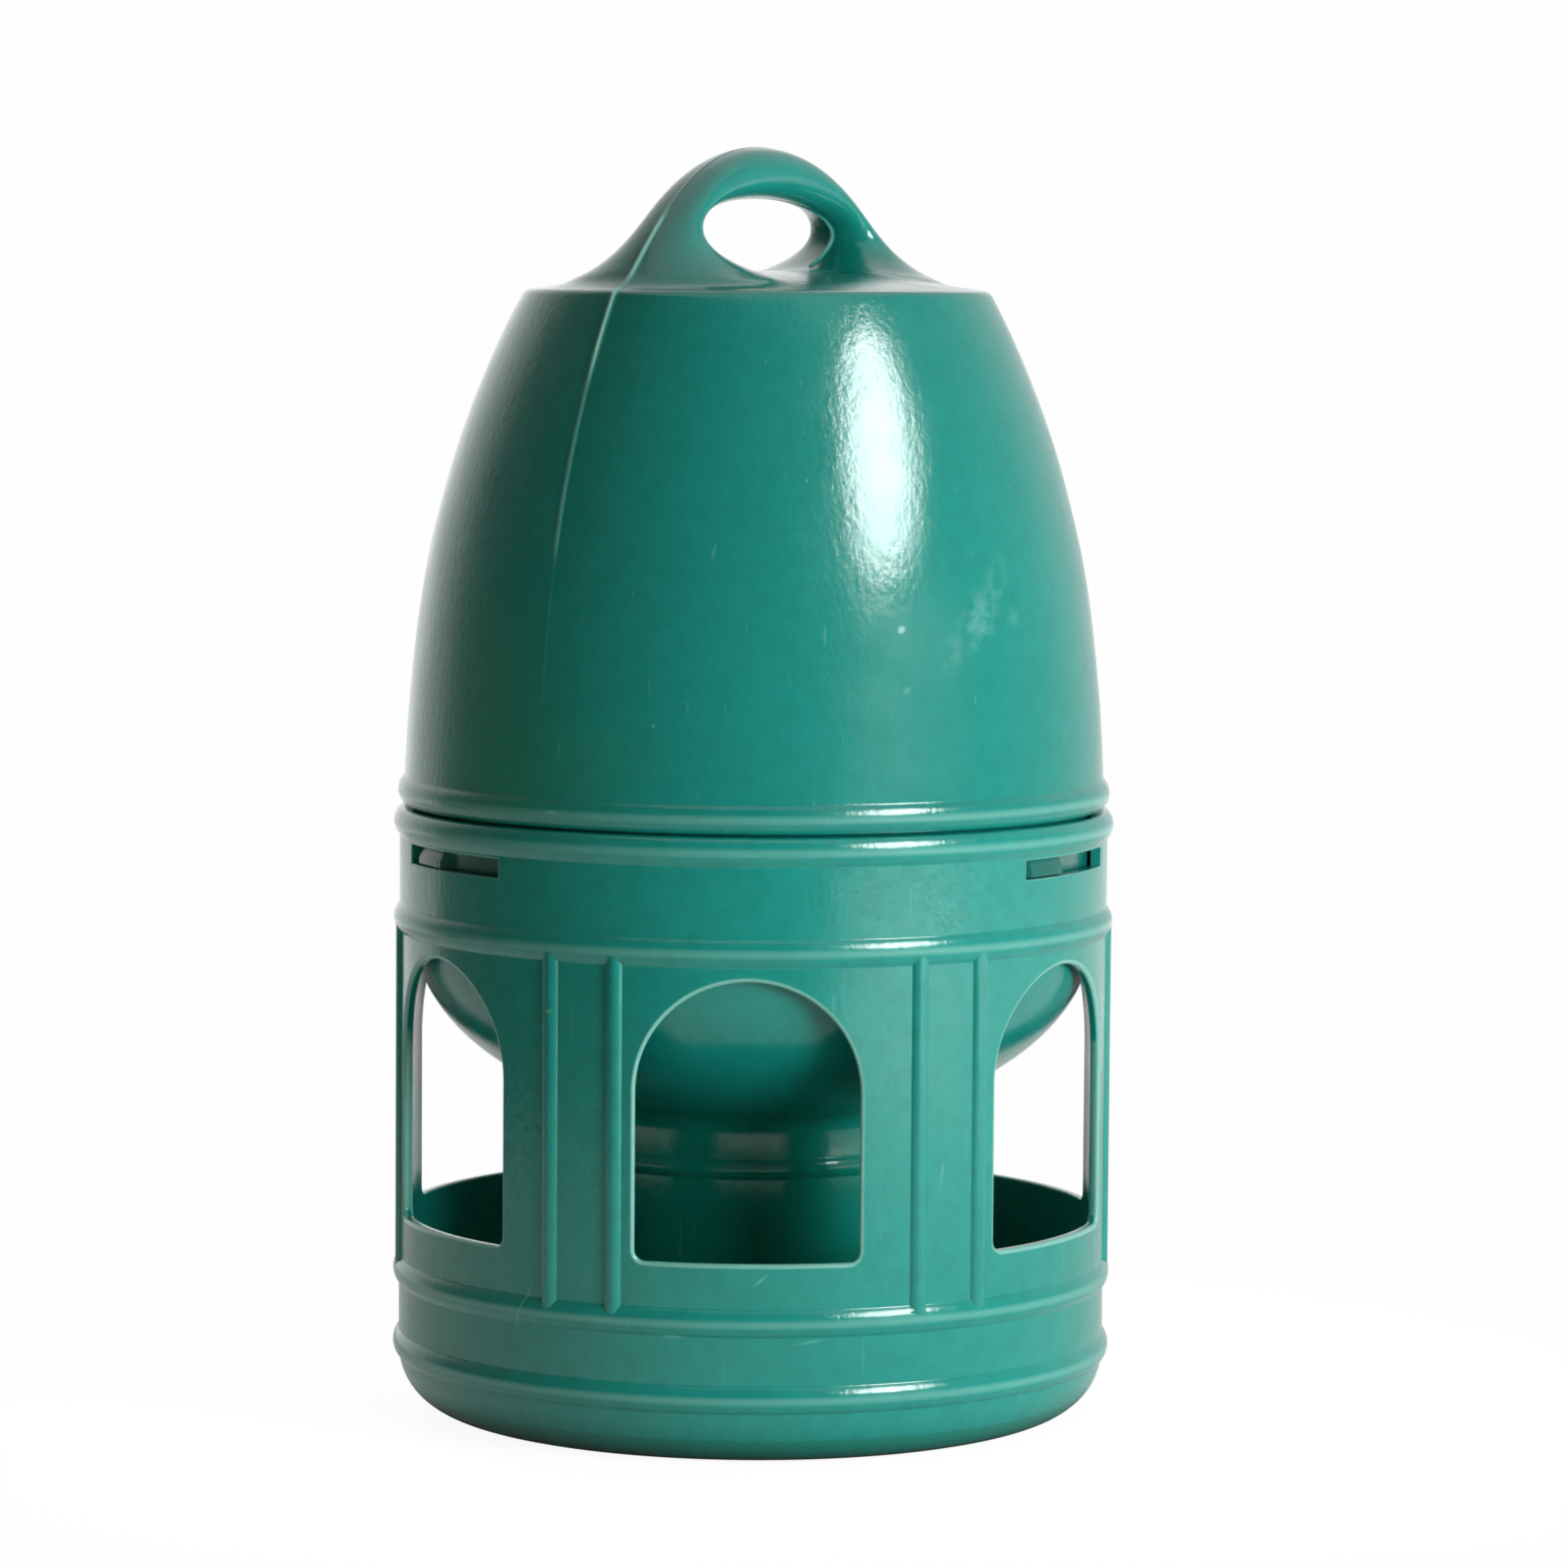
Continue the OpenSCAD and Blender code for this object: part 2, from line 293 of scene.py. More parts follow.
def window_place(y):
    """Places a point of the window at a depth in the flat wall."""
    return lambda x, z: (base_r * math.asin(x / (base_r - y)), y, z)


def block(name, half_width, near, far, low, high):
    """A box in the flat strip."""
    outline = [(-half_width, near), (half_width, near), (half_width, far), (-half_width, far)]
    return prism(name, outline, [lambda x, y: (x, y, low), lambda x, y: (x, y, high)])


window_mesh = prism("window_cut", window_outline(),
                    [window_place(-0.6), window_place(base_wall + 0.6)])

slot_angle, slot_h, lug_gap, lug_grip = 28.0, 4.2, 0.3, 1.5
slot_z = base_h - 9.2
lug_angle, lug_free = 12.6, 0.4
lug_turn = slot_turn - slot_angle / 2 + lug_free + lug_angle / 2
entry_turn = lug_turn + slot_angle / 2
entry_depth = base_wall - lug_grip - lug_gap
slot_mesh = block("slot_cut", slot_angle / 2 * degree, -2, base_wall + 1,
                  slot_z - slot_h / 2, slot_z + slot_h / 2)
recess_mesh = block("recess_cut", (lug_angle / 2 + lug_free) * degree, entry_depth, base_wall + 1,
                    slot_z, base_h + 1)

rib_w, rib_out, rib_sink = 4.0, 1.1, 0.4
rib_r = ((rib_w / 2) ** 2 + rib_out ** 2) / (2 * rib_out)
rib_reach = math.degrees(math.asin(rib_w / 2 / rib_r))
rib_back = arc(0, rib_r - rib_out, rib_r, -90 - rib_reach, -90 + rib_reach, 10)
rib_section = rib_back + [(rib_w / 2, rib_sink), (-rib_w / 2, rib_sink)]
rib_mesh = prism("rib", rib_section,
                 [lambda x, y: (x, y, sill_bead_z), lambda x, y: (x, y, arch_bead_z)])
print("window outline:", len(window_outline()), "points; rib:", len(rib_section))

# %% [markdown]
# Ribs, windows and slots repeat along the wall at an even pitch, and that is a job for Geometry
# Nodes. The tree lays each shape out on a line of points, joins the ribs to the strip and takes the
# cutters away from it. To move or to add a window, one number changes.


# %% Tree that ribs and cuts the wall
def row_of(tree, shape, count, first, step):
    """Copies of an object on a line of points along x."""
    start = add(tree, "ShaderNodeCombineXYZ", {"X": first})
    offset = add(tree, "ShaderNodeCombineXYZ", {"X": step})
    line = add(tree, "GeometryNodeMeshLine",
               {"Count": count, "Start Location": start.outputs[0], "Offset": offset.outputs[0]})
    shown = add(tree, "GeometryNodeObjectInfo", {"Object": shape})
    copies = add(tree, "GeometryNodeInstanceOnPoints",
                 {"Points": line.outputs[0], "Instance": shown.outputs["Geometry"]})
    return add(tree, "GeometryNodeRealizeInstances", {"Geometry": copies.outputs[0]}).outputs[0]


def carve(tree, body, tools, operation):
    """Joins tools to a body, or takes them away from it."""
    made = add(tree, "GeometryNodeMeshBoolean", operation=operation, solver="EXACT")
    if operation == "DIFFERENCE":
        tree.links.new(body, made.inputs["Mesh 1"])
    else:
        tools = [body] + tools
    for tool in tools:
        tree.links.new(tool, made.inputs["Mesh 2"])
    return made.outputs[0]


wall_tree, given = new_tree(
    "Ribbed and windowed wall",
    Rib="Object", Window="Object", Slot="Object", Recess="Object",
    Windows="Int", Slots="Int", Window_pitch="Float", Slot_pitch="Float",
    First_rib="Float", Second_rib="Float", First_window="Float", First_slot="Float",
    First_recess="Float", Material="Material")
put = given.outputs
ribs = [row_of(wall_tree, put["Rib"], put["Windows"], put[first], put["Window pitch"])
        for first in ("First rib", "Second rib")]
ribbed = carve(wall_tree, put["Geometry"], ribs, "UNION")
tools = [
    row_of(wall_tree, put["Window"], put["Windows"], put["First window"], put["Window pitch"]),
    row_of(wall_tree, put["Slot"], put["Slots"], put["First slot"], put["Slot pitch"]),
    row_of(wall_tree, put["Recess"], put["Slots"], put["First recess"], put["Slot pitch"]),
]
finish_tree(wall_tree, carve(wall_tree, ribbed, tools, "DIFFERENCE"), put["Material"])
print("wall tree:", len(wall_tree.nodes), "nodes")

# %% Cut the strip
base_plastic = bpy.data.materials.new("base_teal_polythene")
shapes = {
    "Rib": new_object("rib_shape", rib_mesh),
    "Window": new_object("window_shape", window_mesh),
    "Slot": new_object("slot_shape", slot_mesh),
    "Recess": new_object("recess_shape", recess_mesh),
}
grow(strip, wall_tree, **shapes,
     Windows=window_count, Slots=lug_count,
     Window_pitch=window_pitch, Slot_pitch=strip_length / lug_count,
     First_rib=rib_gap / 2, Second_rib=window_pitch - rib_gap / 2, First_window=first_window,
     First_slot=(slot_turn - seam_turn) * degree,
     First_recess=(entry_turn - seam_turn) * degree,
     Material=base_plastic)
for shape in shapes.values():
    bpy.data.objects.remove(shape)
print("cut strip:", len(strip.data.polygons), "faces")

# %% [markdown]
# The photograph shows a pale, rounded lip round each window, wider on the outside. It comes from a
# bevel on exactly those edges, found by the faces that meet there: one lies in the wall and the
# other runs through it. A number on each point remembers the lip, so that the finish can make it
# paler: partly the wear of handling, partly a painted highlight on the rounded edge. Then the strip
# is sliced into narrow columns, ready to be rolled.

# %% Round the lips
front_lip, back_lip, slot_lip = 1.1, 0.5, 0.3
build = bmesh.new()
build.from_mesh(strip.data)
bmesh.ops.remove_doubles(build, verts=build.verts, dist=1e-5)
lip_layer = build.verts.layers.float.new("lip")


def lip_edges(depth, low, high):
    """Edges of openings between two heights that lie in the wall's face at a depth."""
    found = []
    for edge in build.edges:
        if len(edge.link_faces) != 2:
            continue
        a, b = edge.verts
        if max(abs(a.co.y - depth), abs(b.co.y - depth)) > 1e-4:
            continue
        if min(a.co.z, b.co.z) < low or max(a.co.z, b.co.z) > high:
            continue
        in_wall = sorted(abs(face.normal.y) for face in edge.link_faces)
        if in_wall[0] < 0.6 and in_wall[1] > 0.99:
            found.append(edge)
    return found


def round_lips(depth, low, high, width, segments):
    """Bevels the edges of openings, and marks what the bevel made."""
    edges = lip_edges(depth, low, high)
    made = bmesh.ops.bevel(build, geom=edges, offset=width, offset_type="OFFSET",
                           segments=segments, profile=0.5, affect="EDGES", clamp_overlap=False)
    for face in made["faces"]:
        for vert in face.verts:
            if 0.05 < abs(vert.co.y - depth) < width - 0.05:
                vert[lip_layer] = 1
    return len(edges)


print("lip edges:",
      round_lips(0, sill_z - 2, arch_z + 2, front_lip, 5),
      round_lips(base_wall, sill_z - 2, arch_z + 2, back_lip, 3),
      round_lips(0, slot_z - slot_h, slot_z + slot_h / 2 + 0.1, slot_lip, 2))

# %% Slice the strip
columns = 240


def once_each(items):
    """The items without repeats, in the order in which they come, so that each run is the same."""
    return list(dict.fromkeys(items))


for column in range(1, columns):
    u = strip_length * column / columns
    ahead = [f for f in build.faces if max(v.co.x for v in f.verts) > u]
    edges = once_each(e for f in ahead for e in f.edges)
    verts = once_each(v for f in ahead for v in f.verts)
    bmesh.ops.bisect_plane(build, geom=verts + edges + ahead, dist=1e-4,
                           plane_co=(u, 0, 0), plane_no=(1, 0, 0))
build.to_mesh(strip.data)
build.free()
print("sliced strip:", len(strip.data.polygons), "faces")

# %% [markdown]
# Shading normals are worked out while the strip is flat, where a wall face is truly flat, and are
# then rolled along with it. That gives the wall the reflections of a perfect cylinder right up to
# the windows, which normals from the rolled mesh would not.


# %% Shading of the flat strip
# An edge that turns by more than this, in degrees, shows as an edge
sharp_turn = 38


def smooth_corners(thing, sharp_angle):
    """Lets an object shade smoothly, led by its large faces, with edges past an angle sharp."""
    thing.data.polygons.foreach_set("use_smooth", [True] * len(thing.data.polygons))
    thing.data.set_sharp_from_angle(angle=math.radians(sharp_angle))
    weighted = thing.modifiers.new("weighted", "WEIGHTED_NORMAL")
    weighted.keep_sharp = True
    return settle(thing)


def read(items, name, width):
    """Numbers of a mesh as an array."""
    values = np.zeros(len(items) * width)
    items.foreach_get(name, values)
    return values.reshape(-1, width)


smooth_corners(strip, sharp_turn)
flat = strip.data
flat_points = read(flat.vertices, "co", 3)
flat_normals = read(flat.corner_normals, "vector", 3)
lips = read(flat.attributes["lip"].data, "value", 1)[:, 0]
corner_vertex = read(flat.loops, "vertex_index", 1)[:, 0].astype(int)
print("flat strip:", len(flat_points), "points")


# %% Roll the points and their normals
def roll_axes(x):
    """Directions along and out of the rolled wall, for distances along the strip."""
    turn = np.radians(seam_turn + x / degree)
    nought = np.zeros_like(turn)
    along = np.stack([np.cos(turn), np.sin(turn), nought], -1)
    out = np.stack([np.sin(turn), -np.cos(turn), nought], -1)
    return along, out


at_seam = (flat_points[:, 0] < 1e-3) | (flat_points[:, 0] > strip_length - 1e-3)
flat_points[at_seam, 0] = 0
along, out = roll_axes(flat_points[:, 0])
rolled = out * (base_r - flat_points[:, 1:2])
rolled[:, 2] = flat_points[:, 2]
corner_along, corner_out = along[corner_vertex], out[corner_vertex]
rolled_normals = corner_along * flat_normals[:, 0:1] - corner_out * flat_normals[:, 1:2]
rolled_normals[:, 2] += flat_normals[:, 2]
print("points on the seam of the strip:", int(at_seam.sum()))

# %% Close the rolled base
# Points of the strip's two ends fall together, and the faces of those ends and of its cuts go
keys = {}
same_as = [keys.setdefault(tuple(np.round(p, 3) + 0.0), i) for i, p in enumerate(rolled)]
kept = sorted(set(same_as))
renumber = {old: new for new, old in enumerate(kept)}
faces, normals = [], []
for polygon in flat.polygons:
    if abs(polygon.normal.x) > 0.999 and polygon.center.x % strip_length < 1e-3:
        continue
    if abs(polygon.center.x - strip_length) < 1e-3:
        continue
    loops = range(polygon.loop_start, polygon.loop_start + polygon.loop_total)
    corners = [renumber[same_as[corner_vertex[i]]] for i in loops]
    chosen = [k for k in range(len(corners)) if corners[k] != corners[k - 1]]
    if len(chosen) > 2:
        faces.append([corners[k] for k in chosen])
        normals += [rolled_normals[loops[k]] for k in chosen]

base_mesh = bpy.data.meshes.new("windowed_base")
base_mesh.from_pydata((rolled[kept] * MM).tolist(), [], faces)
base_mesh.polygons.foreach_set("use_smooth", [True] * len(faces))
base_mesh.normals_split_custom_set([tuple(n) for n in normals])
print("rolled base:", len(faces), "faces")

# %% Pale crests of the beads, a painted highlight
# Strength of the painted highlight line on bead crests, and how far out on the bead it starts
crest_highlight_share, crest_from = 0.42, 0.9


def crest_highlight(points, wall_r):
    """How pale the crests of beads are: a painted highlight, a thin line along each crest."""
    proud = np.hypot(points[:, 0], points[:, 1]) - wall_r
    share = np.clip((proud / bead_out - crest_from) / (1 - crest_from), 0, 1)
    return crest_highlight_share * share * (proud < bead_out + 0.05)


lip_data = base_mesh.attributes.new("lip", "FLOAT", "POINT")
lip_data.data.foreach_set("value", np.maximum(lips[kept], crest_highlight(rolled[kept], base_r)))
base_mesh.materials.append(base_plastic)
bpy.data.objects.remove(strip)
base_piece = new_object("windowed_base", base_mesh)
print("base:", base_piece.name)

# %% [markdown]
# The reservoir is blown in one piece: neck, rounded underside, skirt, dome and crowned top have
# one wall all the way. Its outline is worked out once for the outside and once, set in by the
# wall's thickness, for the inside.

# %% Sizes of the reservoir
dome_r, top_r, top_z, top_crown, top_edge = 79.2, 52.25, 253.0, 4.5, 1.2
shell_wall, seat_gap, skirt_gap = 2.2, 0.4, 0.9
skirt_r = base_bore - skirt_gap
shoulder_z = base_h + seat_gap
bowl_z, bowl_depth = base_h - 28.5, 44.0
neck_r, mouth_z, neck_fillet = 38.0, 30.0, 4.0
neck_bead_z, neck_bead_h, neck_bead_out = 59.3, 4.4, 1.0
lean_share, round_power = 0.17, 2.6


def dome_at(t):
    """Radius of the dome a share of the way up: a steady lean and a round that quickens."""
    return dome_r - (dome_r - top_r) * (lean_share * t + (1 - lean_share) * t ** round_power)


def crown_at(r):
    """Height of the crowned top at a radius."""
    return top_z + top_crown * (1 - (r / top_r) ** 2)


def rounded(start, corner, end, steps=6):
    """Points that round off a corner, from its start to its end."""
    start, corner, end = Vector(start), Vector(corner), Vector(end)
    shares = [k / steps for k in range(steps + 1)]
    return [tuple((1 - t) ** 2 * start + 2 * t * (1 - t) * corner + t * t * end) for t in shares]


print("dome radius at half height:", round(dome_at(0.5), 1))


# %% Outlines of the reservoir
def bowl_and_skirt(inset, steps):
    """From the neck's root over the rounded underside to the top of the skirt."""
    neck_side, bowl_r, fall = neck_r - inset, skirt_r - inset, bowl_depth - inset

    def bowl_at(r):
        return (r, bowl_z - fall * math.sqrt(1 - (r / bowl_r) ** 2))

    start = math.degrees(math.acos((neck_side + neck_fillet) / bowl_r))
    root = bowl_at(neck_side)
    curve = rounded((root[0], root[1] - neck_fillet), root, bowl_at(neck_side + neck_fillet))
    for a in np.radians(np.linspace(start, 0, steps + 1)[1:]):
        curve.append((bowl_r * math.cos(a), bowl_z - fall * math.sin(a)))
    return curve


def dome_and_top(inset, from_z, steps, top_steps):
    """From a height on the dome over its edge to the middle of the crowned top."""
    low = shoulder_z + inset
    height = top_z - inset - low
    rim_r = top_r - inset
    end = 1 - top_edge / height
    shares = np.linspace((from_z - low) / height, end, steps + 1)
    side = [(dome_at(t) - inset, low + height * t) for t in shares]

    def top_at(r):
        return (r, crown_at(r * top_r / rim_r) - inset)

    edge = rounded(side[-1], (rim_r, top_z - inset), top_at(rim_r - top_edge))
    top = [top_at((rim_r - top_edge) * (1 - k / top_steps)) for k in range(1, top_steps + 1)]
    return side[:-1] + edge + top


dome_bead_z = shoulder_z + bead_land + bead_h / 2
dome_bead_r = dome_at((dome_bead_z - shoulder_z) / (top_z - shoulder_z))
outer = [(neck_r - shell_wall, mouth_z), (neck_r, mouth_z)]
outer += bead(neck_r, neck_bead_z, neck_bead_h, neck_bead_out, 8)
outer += bowl_and_skirt(0, 30)
outer += [(skirt_r, shoulder_z), (dome_r - seam_slope, shoulder_z)]
outer += [(dome_r - 0.02, shoulder_z + bead_land)]
outer += bead(dome_bead_r, dome_bead_z, bead_h, bead_out)
outer += dome_and_top(0, dome_bead_z + bead_h / 2 + 0.3, 70, 44)
outer = soften(outer, 0.5)
inner = bowl_and_skirt(shell_wall, 14) + [(skirt_r - shell_wall, shoulder_z + shell_wall)]
inner += dome_and_top(shell_wall, shoulder_z + shell_wall, 24, 10)
print("reservoir outlines:", len(outer), "outside and", len(inner), "inside")

# %% [markdown]
# A body of revolution follows a rule, so Geometry Nodes turn it. The tree takes the outline's
# points and a ring of directions, and sets each point of a grid to an outline point that is turned
# to a direction. The directions crowd together along the parting line, where the two halves of the
# blowing mould met, so that its thin ridge can be real geometry later. The same tree gives the
# dome the slight waves that every blown wall has, and which fray the edges of its highlights.

# %% Directions round the reservoir
# The offsets and the band beside the parting line are widths on the wall at seam_r
handle_turn, seam_r, seam_band = -36.5, 75, 1.4
seam_offsets = (0.18, 0.36, 0.58, 0.95)
spokes = 264
seam_angles = [handle_turn + half + side * math.degrees(offset / seam_r)
               for half in (0, 180) for side in (-1, 1) for offset in seam_offsets]
clear_of_seam = math.degrees(seam_band / seam_r)
even = [handle_turn + 360 * k / spokes for k in range(spokes)]
angles = [a for a in even
          if min((a - handle_turn) % 180, (handle_turn - a) % 180) > clear_of_seam]
angles = sorted(a % 360 for a in angles + seam_angles + [handle_turn, handle_turn + 180])
angles.append(angles[0] + 360)
directions = bpy.data.meshes.new("directions")
directions.from_pydata(
    [(math.sin(math.radians(a)), -math.cos(math.radians(a)), 0) for a in angles], [], [])
direction_ring = new_object("directions", directions)

section_points = list(reversed(outer)) + inner
section = bpy.data.meshes.new("section")
section.from_pydata([(r, 0, z) for r, z in section_points], [], [])
reservoir = new_object("reservoir_shell", section)
print("directions:", len(angles), "section points:", len(section_points))


# %% Helpers for sums in trees
def maths(tree, operation, a, b=0.0):
    """One sum on two numbers or sockets."""
    return add(tree, "ShaderNodeMath", {0: a, 1: b}, operation=operation).outputs[0]


def ease(tree, value, low, high, start=0.0, end=1.0):
    """Eases from a start to an end while a value goes from low to high."""
    return add(tree, "ShaderNodeMapRange",
               {"Value": value, "From Min": low, "From Max": high, "To Min": start, "To Max": end},
               interpolation_type="SMOOTHSTEP").outputs[0]


print("sums ready")

# %% Tree that turns the reservoir
turn_tree, given = new_tree(
    "Turned and blown wall",
    Directions="Object", Wave_size="Float", Wave_height="Float", Wave_seed="Float",
    Wave_low="Float", Wave_high="Float", Material="Material")
put = given.outputs
ring_shown = add(turn_tree, "GeometryNodeObjectInfo", {"Object": put["Directions"]})
ring_geometry = ring_shown.outputs["Geometry"]
ring_count = add(turn_tree, "GeometryNodeAttributeDomainSize", {"Geometry": ring_geometry})
outline_count = add(turn_tree, "GeometryNodeAttributeDomainSize", {"Geometry": put["Geometry"]})
grid = add(turn_tree, "GeometryNodeMeshGrid",
           {"Vertices X": ring_count.outputs["Point Count"],
            "Vertices Y": outline_count.outputs["Point Count"]})
index = add(turn_tree, "GeometryNodeInputIndex").outputs[0]
row = maths(turn_tree, "MODULO", index, outline_count.outputs["Point Count"])
spoke = maths(turn_tree, "FLOOR",
              maths(turn_tree, "DIVIDE", maths(turn_tree, "ADD", index, 0.5),
                    outline_count.outputs["Point Count"]))
here = add(turn_tree, "GeometryNodeInputPosition").outputs[0]
from_outline = add(turn_tree, "GeometryNodeSampleIndex",
                   {"Geometry": put["Geometry"], "Value": here, "Index": row},
                   data_type="FLOAT_VECTOR")
from_ring = add(turn_tree, "GeometryNodeSampleIndex",
                {"Geometry": ring_geometry, "Value": here, "Index": spoke},
                data_type="FLOAT_VECTOR")
radius = add(turn_tree, "ShaderNodeSeparateXYZ", {0: from_outline.outputs[0]})
turned = add(turn_tree, "ShaderNodeVectorMath",
             {0: from_ring.outputs[0], "Scale": radius.outputs["X"]}, operation="SCALE")
lift = add(turn_tree, "ShaderNodeCombineXYZ", {"Z": radius.outputs["Z"]})
round_place = add(turn_tree, "ShaderNodeVectorMath", {0: turned.outputs[0], 1: lift.outputs[0]},
                  operation="ADD").outputs[0]
print("turning tree so far:", len(turn_tree.nodes), "nodes")

# %% Slow waves of the blown wall
# They fade in above the dome's bead and fade out below the edge of the top
wave_fade_in, wave_fade_out = 12.0, 8.0
height = radius.outputs["Z"]
noise = add(turn_tree, "ShaderNodeTexNoise",
            {"Vector": round_place, "W": put["Wave seed"],
             "Scale": maths(turn_tree, "DIVIDE", 1.0, put["Wave size"]), "Detail": 1.5},
            noise_dimensions="4D")
wave_up = ease(turn_tree, height, put["Wave low"],
               maths(turn_tree, "ADD", put["Wave low"], wave_fade_in))
wave_down = ease(turn_tree, height, maths(turn_tree, "SUBTRACT", put["Wave high"], wave_fade_out),
                 put["Wave high"], 1.0, 0.0)
wave = maths(turn_tree, "MULTIPLY", maths(turn_tree, "SUBTRACT", noise.outputs[0], 0.5),
             put["Wave height"])
wave = maths(turn_tree, "MULTIPLY", wave, maths(turn_tree, "MULTIPLY", wave_up, wave_down))

push = add(turn_tree, "ShaderNodeVectorMath", {0: from_ring.outputs[0], "Scale": wave},
           operation="SCALE")
placed = add(turn_tree, "GeometryNodeSetPosition",
             {"Geometry": grid.outputs[0], "Position": round_place, "Offset": push.outputs[0]})
welded = add(turn_tree, "GeometryNodeMergeByDistance",
             {"Geometry": placed.outputs[0], "Distance": 1e-4})
finish_tree(turn_tree, welded.outputs[0], put["Material"])
print("turning tree:", len(turn_tree.nodes), "nodes")

# %% Turn the reservoir
bottle_plastic = bpy.data.materials.new("reservoir_teal_polythene")
grow(reservoir, turn_tree, Directions=direction_ring, Wave_size=26.0, Wave_height=0.4,
     Wave_seed=3.0, Wave_low=dome_bead_z + 4, Wave_high=top_z - 2, Material=bottle_plastic)
bpy.data.objects.remove(direction_ring)
print("turned wall:", len(reservoir.data.polygons), "faces")

# %% [markdown]
# The handle is lofted, as the source's is: rings follow an outer curve and the outline of the
# opening under it, stand upright at the grip, and tip over and widen towards the feet until they
# lie on the crowned top. Each ring has extra points next to its middle for the parting line.

# %% Loft of the handle
grip_w, foot_w, foot_inner, foot_sink = 14.0, 70.0, 12.0, 0.3
grip_t, grip_l, handle_rise = 11.3, 58.0, 32.0
flare_power, settle_power = 7.5, 12.0
opening_h = handle_rise - grip_t
outer_curve = [(0, top_z + handle_rise), (0.46 * top_r, top_z + handle_rise),
               (0.65 * top_r, top_z + 0.53 * handle_rise),
               (top_r - top_edge / 2, top_z - top_edge / 2)]
inner_curve = [(0, top_z + opening_h), (0.33 * grip_l, top_z + opening_h),
               (0.8 * grip_l, top_z + 0.63 * opening_h),
               (foot_inner, crown_at(foot_inner) - foot_sink)]
loop_steps, quarter_points, ring_band = 150, 14, 1.5
print("opening under the grip in mm:", opening_h)


# %% Rings of the handle
def on_curve(points, t):
    """A point on a cubic curve."""
    a, b, c, d = (Vector(p) for p in points)
    return (1 - t) ** 3 * a + 3 * (1 - t) ** 2 * t * b + 3 * (1 - t) * t * t * c + t ** 3 * d


def ring_angles(width):
    """Angles round a ring, crowded at its top and its bottom for the parting line."""
    near = [math.asin(offset / width) for offset in seam_offsets]
    start = math.asin(ring_band / width)
    rest = [start + (math.pi / 2 - start) * k / quarter_points for k in range(quarter_points)]
    quarter = [0] + near + rest
    half = quarter + [math.pi / 2] + [math.pi - a for a in reversed(quarter)]
    return half + [2 * math.pi - a for a in reversed(half[1:-1])]


def handle_ring(s):
    """One ring of the handle, from -1 at the front foot to 1 at the rear one."""
    q = min(abs(s) + 0.8 * abs(s) * (1 - abs(s)), 1)
    settled = q ** settle_power
    outer_point, inner_point = on_curve(outer_curve, q), on_curve(inner_curve, q)
    mid, half = (outer_point + inner_point) / 2, (outer_point - inner_point) / 2
    width = (grip_w + (foot_w - grip_w) * q ** flare_power) / 2
    ring = []
    for a in ring_angles(width):
        sideways = width * math.sin(a)
        point = mid + half * math.cos(a)
        seat = crown_at(math.hypot(point.x, sideways)) - foot_sink
        z = point.y * (1 - settled) + seat * settled
        ring.append((math.copysign(1, s) * point.x, sideways, z))
    return ring


print("points round the grip:", len(handle_ring(0)))

# %% Skin of the handle
rings = [handle_ring(2 * k / loop_steps - 1) for k in range(loop_steps + 1)]
ring_size = len(rings[0])
handle_points = [p for ring in rings for p in ring]
foot_mid = (outer_curve[3][0] + foot_inner) / 2
handle_points += [(-foot_mid, 0, top_z - shell_wall / 2), (foot_mid, 0, top_z - shell_wall / 2)]
handle_faces = [
    [row * ring_size + k, row * ring_size + (k + 1) % ring_size,
     (row + 1) * ring_size + (k + 1) % ring_size, (row + 1) * ring_size + k]
    for row in range(loop_steps) for k in range(ring_size)
]
last = loop_steps * ring_size
for k in range(ring_size):
    handle_faces.append([(k + 1) % ring_size, k, last + ring_size])
    handle_faces.append([last + k, last + (k + 1) % ring_size, last + ring_size + 1])
handle_mesh = mesh_from("handle", handle_points, handle_faces)
handle_mesh.transform(Matrix.Rotation(math.radians(handle_turn + 90), 4, "Z"))
handle = new_object("handle_shape", handle_mesh)
print("handle:", len(handle_faces), "faces")

# %% [markdown]
# Three lugs on the skirt lock in the base's slots. One lug is drawn, with sloped ends that help it
# in and a face that falls back towards its top, which puts that half in shadow. A small tree
# repeats it round the axis.

# %% Lugs round the skirt
lug_ramp = 1.8
lug_r = base_bore + lug_grip
lug_half, lug_top_half = lug_angle / 2, lug_angle / 2 - lug_ramp


def at(r, turn):
    """A point at a radius and a direction from the front."""
    return (r * math.sin(math.radians(turn)), -r * math.cos(math.radians(turn)))


lug_outline = [at(skirt_r - 1, -lug_half), at(skirt_r, -lug_half)]
lug_outline += [at(lug_r, lug_top_half * (k / 6 - 1)) for k in range(13)]
lug_outline += [at(skirt_r, lug_half), at(skirt_r - 1, lug_half)]
lug_low, lug_high = slot_z - slot_h / 2 + lug_gap, slot_z + slot_h / 2 - lug_gap
fall_from, fall_share = lug_low + 0.35 * (lug_high - lug_low), 0.987
lugs = new_object("lugs_shape", prism("lugs", lug_outline, [
    lambda x, y: (x, y, lug_low), lambda x, y: (x, y, fall_from),
    lambda x, y: (x * fall_share, y * fall_share, lug_high)]))

